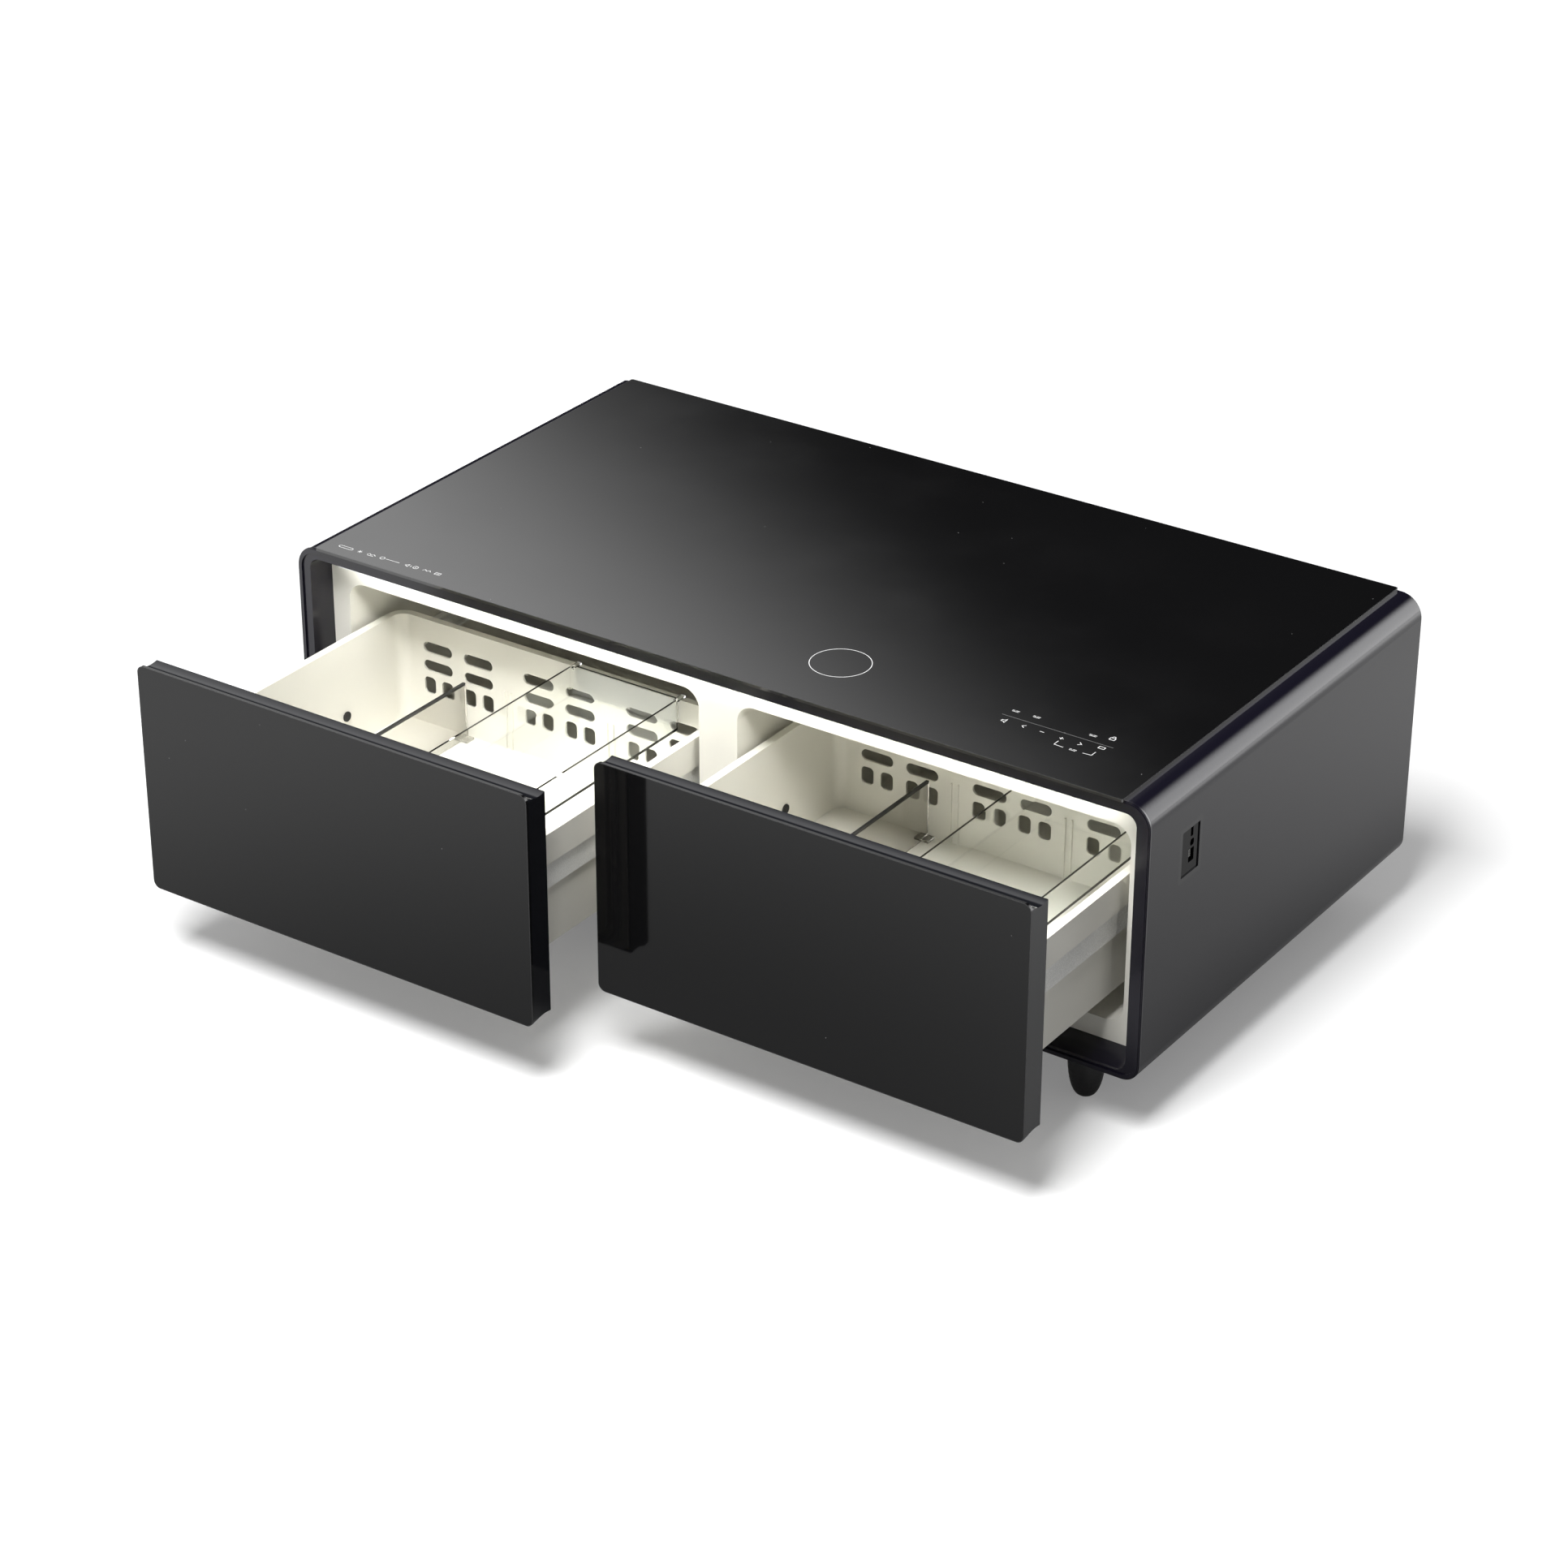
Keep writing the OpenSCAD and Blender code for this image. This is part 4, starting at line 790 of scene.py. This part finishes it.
def ribbon(build, line, width, bottom, top, closed=False):
    """Adds one closed, raised line to a mesh."""
    pairs = offsets([Vector(p) for p in line], width, closed)
    rings = []
    for left, right in pairs:
        corners = ((left, bottom), (right, bottom), (right, top), (left, top))
        rings.append([build.verts.new((p.x, p.y, z)) for p, z in corners])
    spans = len(rings) if closed else len(rings) - 1
    for i in range(spans):
        here, there = rings[i], rings[(i + 1) % len(rings)]
        for k in range(4):
            build.faces.new((here[k], here[(k + 1) % 4], there[(k + 1) % 4], there[k]))
    if not closed:
        build.faces.new(rings[0][::-1])
        build.faces.new(rings[-1])


def printed(name, lines, width, ink):
    """A piece made of ribbons, in millimetres from the middle and the front plane."""
    build = bmesh.new()
    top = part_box("glass_top")[1].z
    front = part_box("shell")[0].y - PLANE_AHEAD
    for line, closed in lines:
        path = [(x * MM, front + y * MM) for x, y in line]
        ribbon(build, path, width, top - INK_DEEP, top + INK_PROUD, closed)
    bmesh.ops.recalc_face_normals(build, faces=build.faces)
    mesh = bpy.data.meshes.new(name)
    build.to_mesh(mesh)
    build.free()
    mesh.materials.append(ink.material)
    piece = link(bpy.data.objects.new(name, mesh))
    fit(piece, "cabinet", "black_glass")
    print(name, len(lines), "lines")


# The ink also glows faintly, though the print is no lamp: a painted glow that lifts the marks.
ink = Finish("printed_ink", roughness=0.5, emission_strength=0.12)
ink.tint(ink.noise(300.0), 0.62, 0.74)
ink.set("Emission Color", ink.blend(ink.noise(90.0), (0.9, 0.9, 0.9, 1), (1, 1, 1, 1)))
faint = Finish("faint_ink", roughness=0.5)
faint.tint(faint.noise(300.0), 0.14, 0.18)

# %% Marks
def arc(x, y, radius, steps=72):
    """A closed ring of points."""
    return [(x + radius * math.cos(2 * math.pi * k / steps),
             y + radius * math.sin(2 * math.pi * k / steps)) for k in range(steps)]


def dash(x, y, length):
    """A short level line, in the form that printed takes."""
    return [(x - length / 2, y), (x + length / 2, y)], False


printed("charging_ring", [(arc(143.6, 107.0, 39.4), True)], 0.9 * MM, ink)
keys = [
    ([(422.5, 93.5), (418.5, 90.0), (422.5, 86.5)], False),
    dash(446.4, 90.0, 6.0),
    dash(474.5, 89.0, 6.0), ([(474.5, 86.0), (474.5, 92.0)], False),
    ([(498.5, 92.5), (502.5, 89.0), (498.5, 85.5)], False),
    ([(474.9, 81.0), (474.9, 71.0), (488.0, 70.0)], False),
    ([(514.7, 70.8), (526.5, 71.5), (526.5, 81.5)], False),
    ([(390.0, 87.5), (390.0, 91.0), (393.0, 91.0), (395.5, 93.5), (395.5, 85.0),
      (393.0, 87.5)], True),
    ([(522.5, 119.5), (529.5, 119.5), (529.5, 124.5), (522.5, 124.5)], True),
    ([(524.0, 124.5), (524.0, 127.0), (525.0, 128.2), (527.0, 128.2), (528.0, 127.0),
      (528.0, 124.5)], False),
    ([(523.0, 92.5), (531.0, 92.5), (531.0, 97.5), (523.0, 97.5)], True),
]
for x, y in ((392, 120), (421, 121), (502, 118), (501, 72)):
    keys += [dash(x - 3.2, y, 3.6), dash(x + 2.6, y, 5.0), dash(x, y - 2.6, 9.0)]
printed("touch_keys", keys, 0.85 * MM, ink)
printed("touch_line", [([(382.0, 103.0), (538.5, 102.6)], False)], 0.6 * MM, faint)

# %% [markdown]
# ### The feature row
# At the front left corner a row of small symbols tells what the table can do.
# They are drawn here as generic signs along a slightly slanted line: a bar, a
# snow star, a wave over a line, a ring, a long dash, an arrowhead with a stroke,
# a ring with a stroke, a zigzag and a box with a dash.

# %% Feature row
ROW_X, ROW_Y, ROW_SLANT = -430.6, 24.3, 0.0326


def star(radius):
    """Three strokes that cross in one point."""
    ways = [(math.cos(math.radians(a)), math.sin(math.radians(a))) for a in (0, 60, 120)]
    return [([(-radius * c, -radius * s), (radius * c, radius * s)], False) for c, s in ways]


def sign(x, line, closed=False):
    """A line drawn round a spot on the slanted base line of the row."""
    y = ROW_Y + ROW_SLANT * (x - ROW_X)
    return [(x + right, y + back) for right, back in line], closed


def bar(half_long, half_wide):
    """A long outline with its corners cut."""
    cut = half_wide * 0.8
    return [(-half_long, -half_wide + cut), (-half_long + cut, -half_wide),
            (half_long - cut, -half_wide), (half_long, -half_wide + cut),
            (half_long, half_wide - cut), (half_long - cut, half_wide),
            (-half_long + cut, half_wide), (-half_long, half_wide - cut)]


row = [sign(-580.7, bar(11.5, 2.6), True)]
row += [sign(-557.6, *line) for line in star(3.6)]
row += [sign(-538.7, [(-7, -1), (-3.5, 2), (0, -1), (3.5, 2), (7, -1)]),
        sign(-538.7, [(-5, -3.2), (5, -3.0)])]
row += [sign(-520.6, arc(0, 0, 3.4, 12), True), sign(-504.0, [(-11, -0.3), (11, 0.3)])]
row += [sign(-480.0, [(-3, -0.6), (2, 3.2), (2, -3.2)], True), sign(-474.0, [(0, -2), (0, 2)])]
row += [sign(-466.4, arc(0, 0, 3.6, 10), True), sign(-466.4, [(0, -1.8), (0, 1.8)])]
row += [sign(-448.0, [(-6.5, -1.5), (-3.5, 2), (0, -1.2), (3.5, 2.4), (6.5, -1.2)])]
row += [sign(-430.6, [(-4, -2.8), (4, -2.6), (4, 2.8), (-4, 2.6)], True),
        sign(-430.6, [(-2, 0), (2, 0)])]
printed("feature_row", row, 0.75 * MM, ink)

# %% [markdown]
# ## Divider caps
# Each smoked divider carries a black cap along its top edge, which is what the
# eye finds first in the bin. A cap is an upside-down U that is drawn once as an
# outline and stretched over the divider's length.

# %% Divider caps
CAP_WALL, CAP_DEEP = 0.3 * MM, 3.0 * MM
CAP_GAP, CAP_CUT = 0.05 * MM, 0.2 * MM
DIVIDER_HALF = 2.0 * MM


def extruded(name, outline, start, end, finish):
    """A closed outline in X and Z, stretched along Y."""
    build = bmesh.new()
    near = [build.verts.new((x, start, z)) for x, z in outline]
    far = [build.verts.new((x, end, z)) for x, z in outline]
    count = len(outline)
    for i in range(count):
        j = (i + 1) % count
        build.faces.new((near[i], near[j], far[j], far[i]))
    build.faces.new(near)
    build.faces.new(far[::-1])
    bmesh.ops.recalc_face_normals(build, faces=build.faces)
    mesh = bpy.data.meshes.new(name)
    build.to_mesh(mesh)
    build.free()
    mesh.materials.append(finish.material)
    return link(bpy.data.objects.new(name, mesh))


for side in ("left", "right"):
    low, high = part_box(side + "_divider")
    mid = (low.x + high.x) / 2
    top, edge = high.z + CAP_WALL, high.z - CAP_DEEP
    out, inn = DIVIDER_HALF + CAP_WALL, DIVIDER_HALF + CAP_GAP
    ceiling = high.z + CAP_GAP
    shape = [(mid - out, edge), (mid - inn, edge), (mid - inn, ceiling), (mid + inn, ceiling),
             (mid + inn, edge), (mid + out, edge), (mid + out, top - CAP_CUT),
             (mid + out - CAP_CUT, top), (mid - out + CAP_CUT, top), (mid - out, top - CAP_CUT)]
    piece = extruded(side + "_divider_cap", shape, low.y + MM, high.y - MM,
                     finishes["black_plastic"])
    fit(piece, side + "_divider_body", "black_plastic")

# %% [markdown]
# ## Socket tongues
# Inside each port on the side panel a grey plastic tongue carries the contacts.
# They are small blocks with softened edges, set back from the plate. Each one is
# given by its middle and its size, as shares of the socket panel's own size.

# %% Socket tongues
def block(build, low, high, bevel):
    """Adds a box with softened edges to a mesh."""
    size = Vector(high) - Vector(low)
    middle = (Vector(high) + Vector(low)) / 2
    fresh = bmesh.ops.create_cube(build, size=1.0)["verts"]
    bmesh.ops.scale(build, vec=size, verts=fresh)
    bmesh.ops.translate(build, vec=middle, verts=fresh)
    edges = list({e for v in fresh for e in v.link_edges})
    bmesh.ops.bevel(build, geom=edges, offset=bevel, segments=2, affect="EDGES", profile=0.5)


low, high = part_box("port_frame")
panel_y, panel_z = (low.y + high.y) / 2, (low.z + high.z) / 2
panel_w, panel_h = high.y - low.y, high.z - low.z
TONGUE_INNER, TONGUE_OUTER, TONGUE_BEVEL = 3.0 * MM, 1.5 * MM, 0.3 * MM
tongues = [(0.07, 0.335, 0.045, 0.11), (0.07, 0.262, 0.09, 0.03), (0.09, 0.12, 0.075, 0.062),
           (0.07, -0.10, 0.13, 0.15)]
build = bmesh.new()
sockets_low, sockets_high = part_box("port_sockets")
for across_share, up_share, wide, tall in tongues:
    y = panel_y + across_share * panel_w
    z = panel_z + up_share * panel_h
    half_w, half_h = wide * panel_w / 2, tall * panel_h / 2
    block(build, (sockets_low.x + TONGUE_INNER, y - half_w, z - half_h),
          (sockets_high.x - TONGUE_OUTER, y + half_w, z + half_h), TONGUE_BEVEL)
mesh = bpy.data.meshes.new("socket_tongues")
build.to_mesh(mesh)
build.free()
mesh.materials.append(finishes["grey_plastic"].material)
piece = link(bpy.data.objects.new("socket_tongues", mesh))
fit(piece, "cabinet", "grey_plastic")
print("tongues", len(tongues))

# %% [markdown]
# ## The end
# The view transform is Standard, so a colour renders as it is written.

# %% Finish
bpy.context.scene.view_settings.view_transform = "Standard"
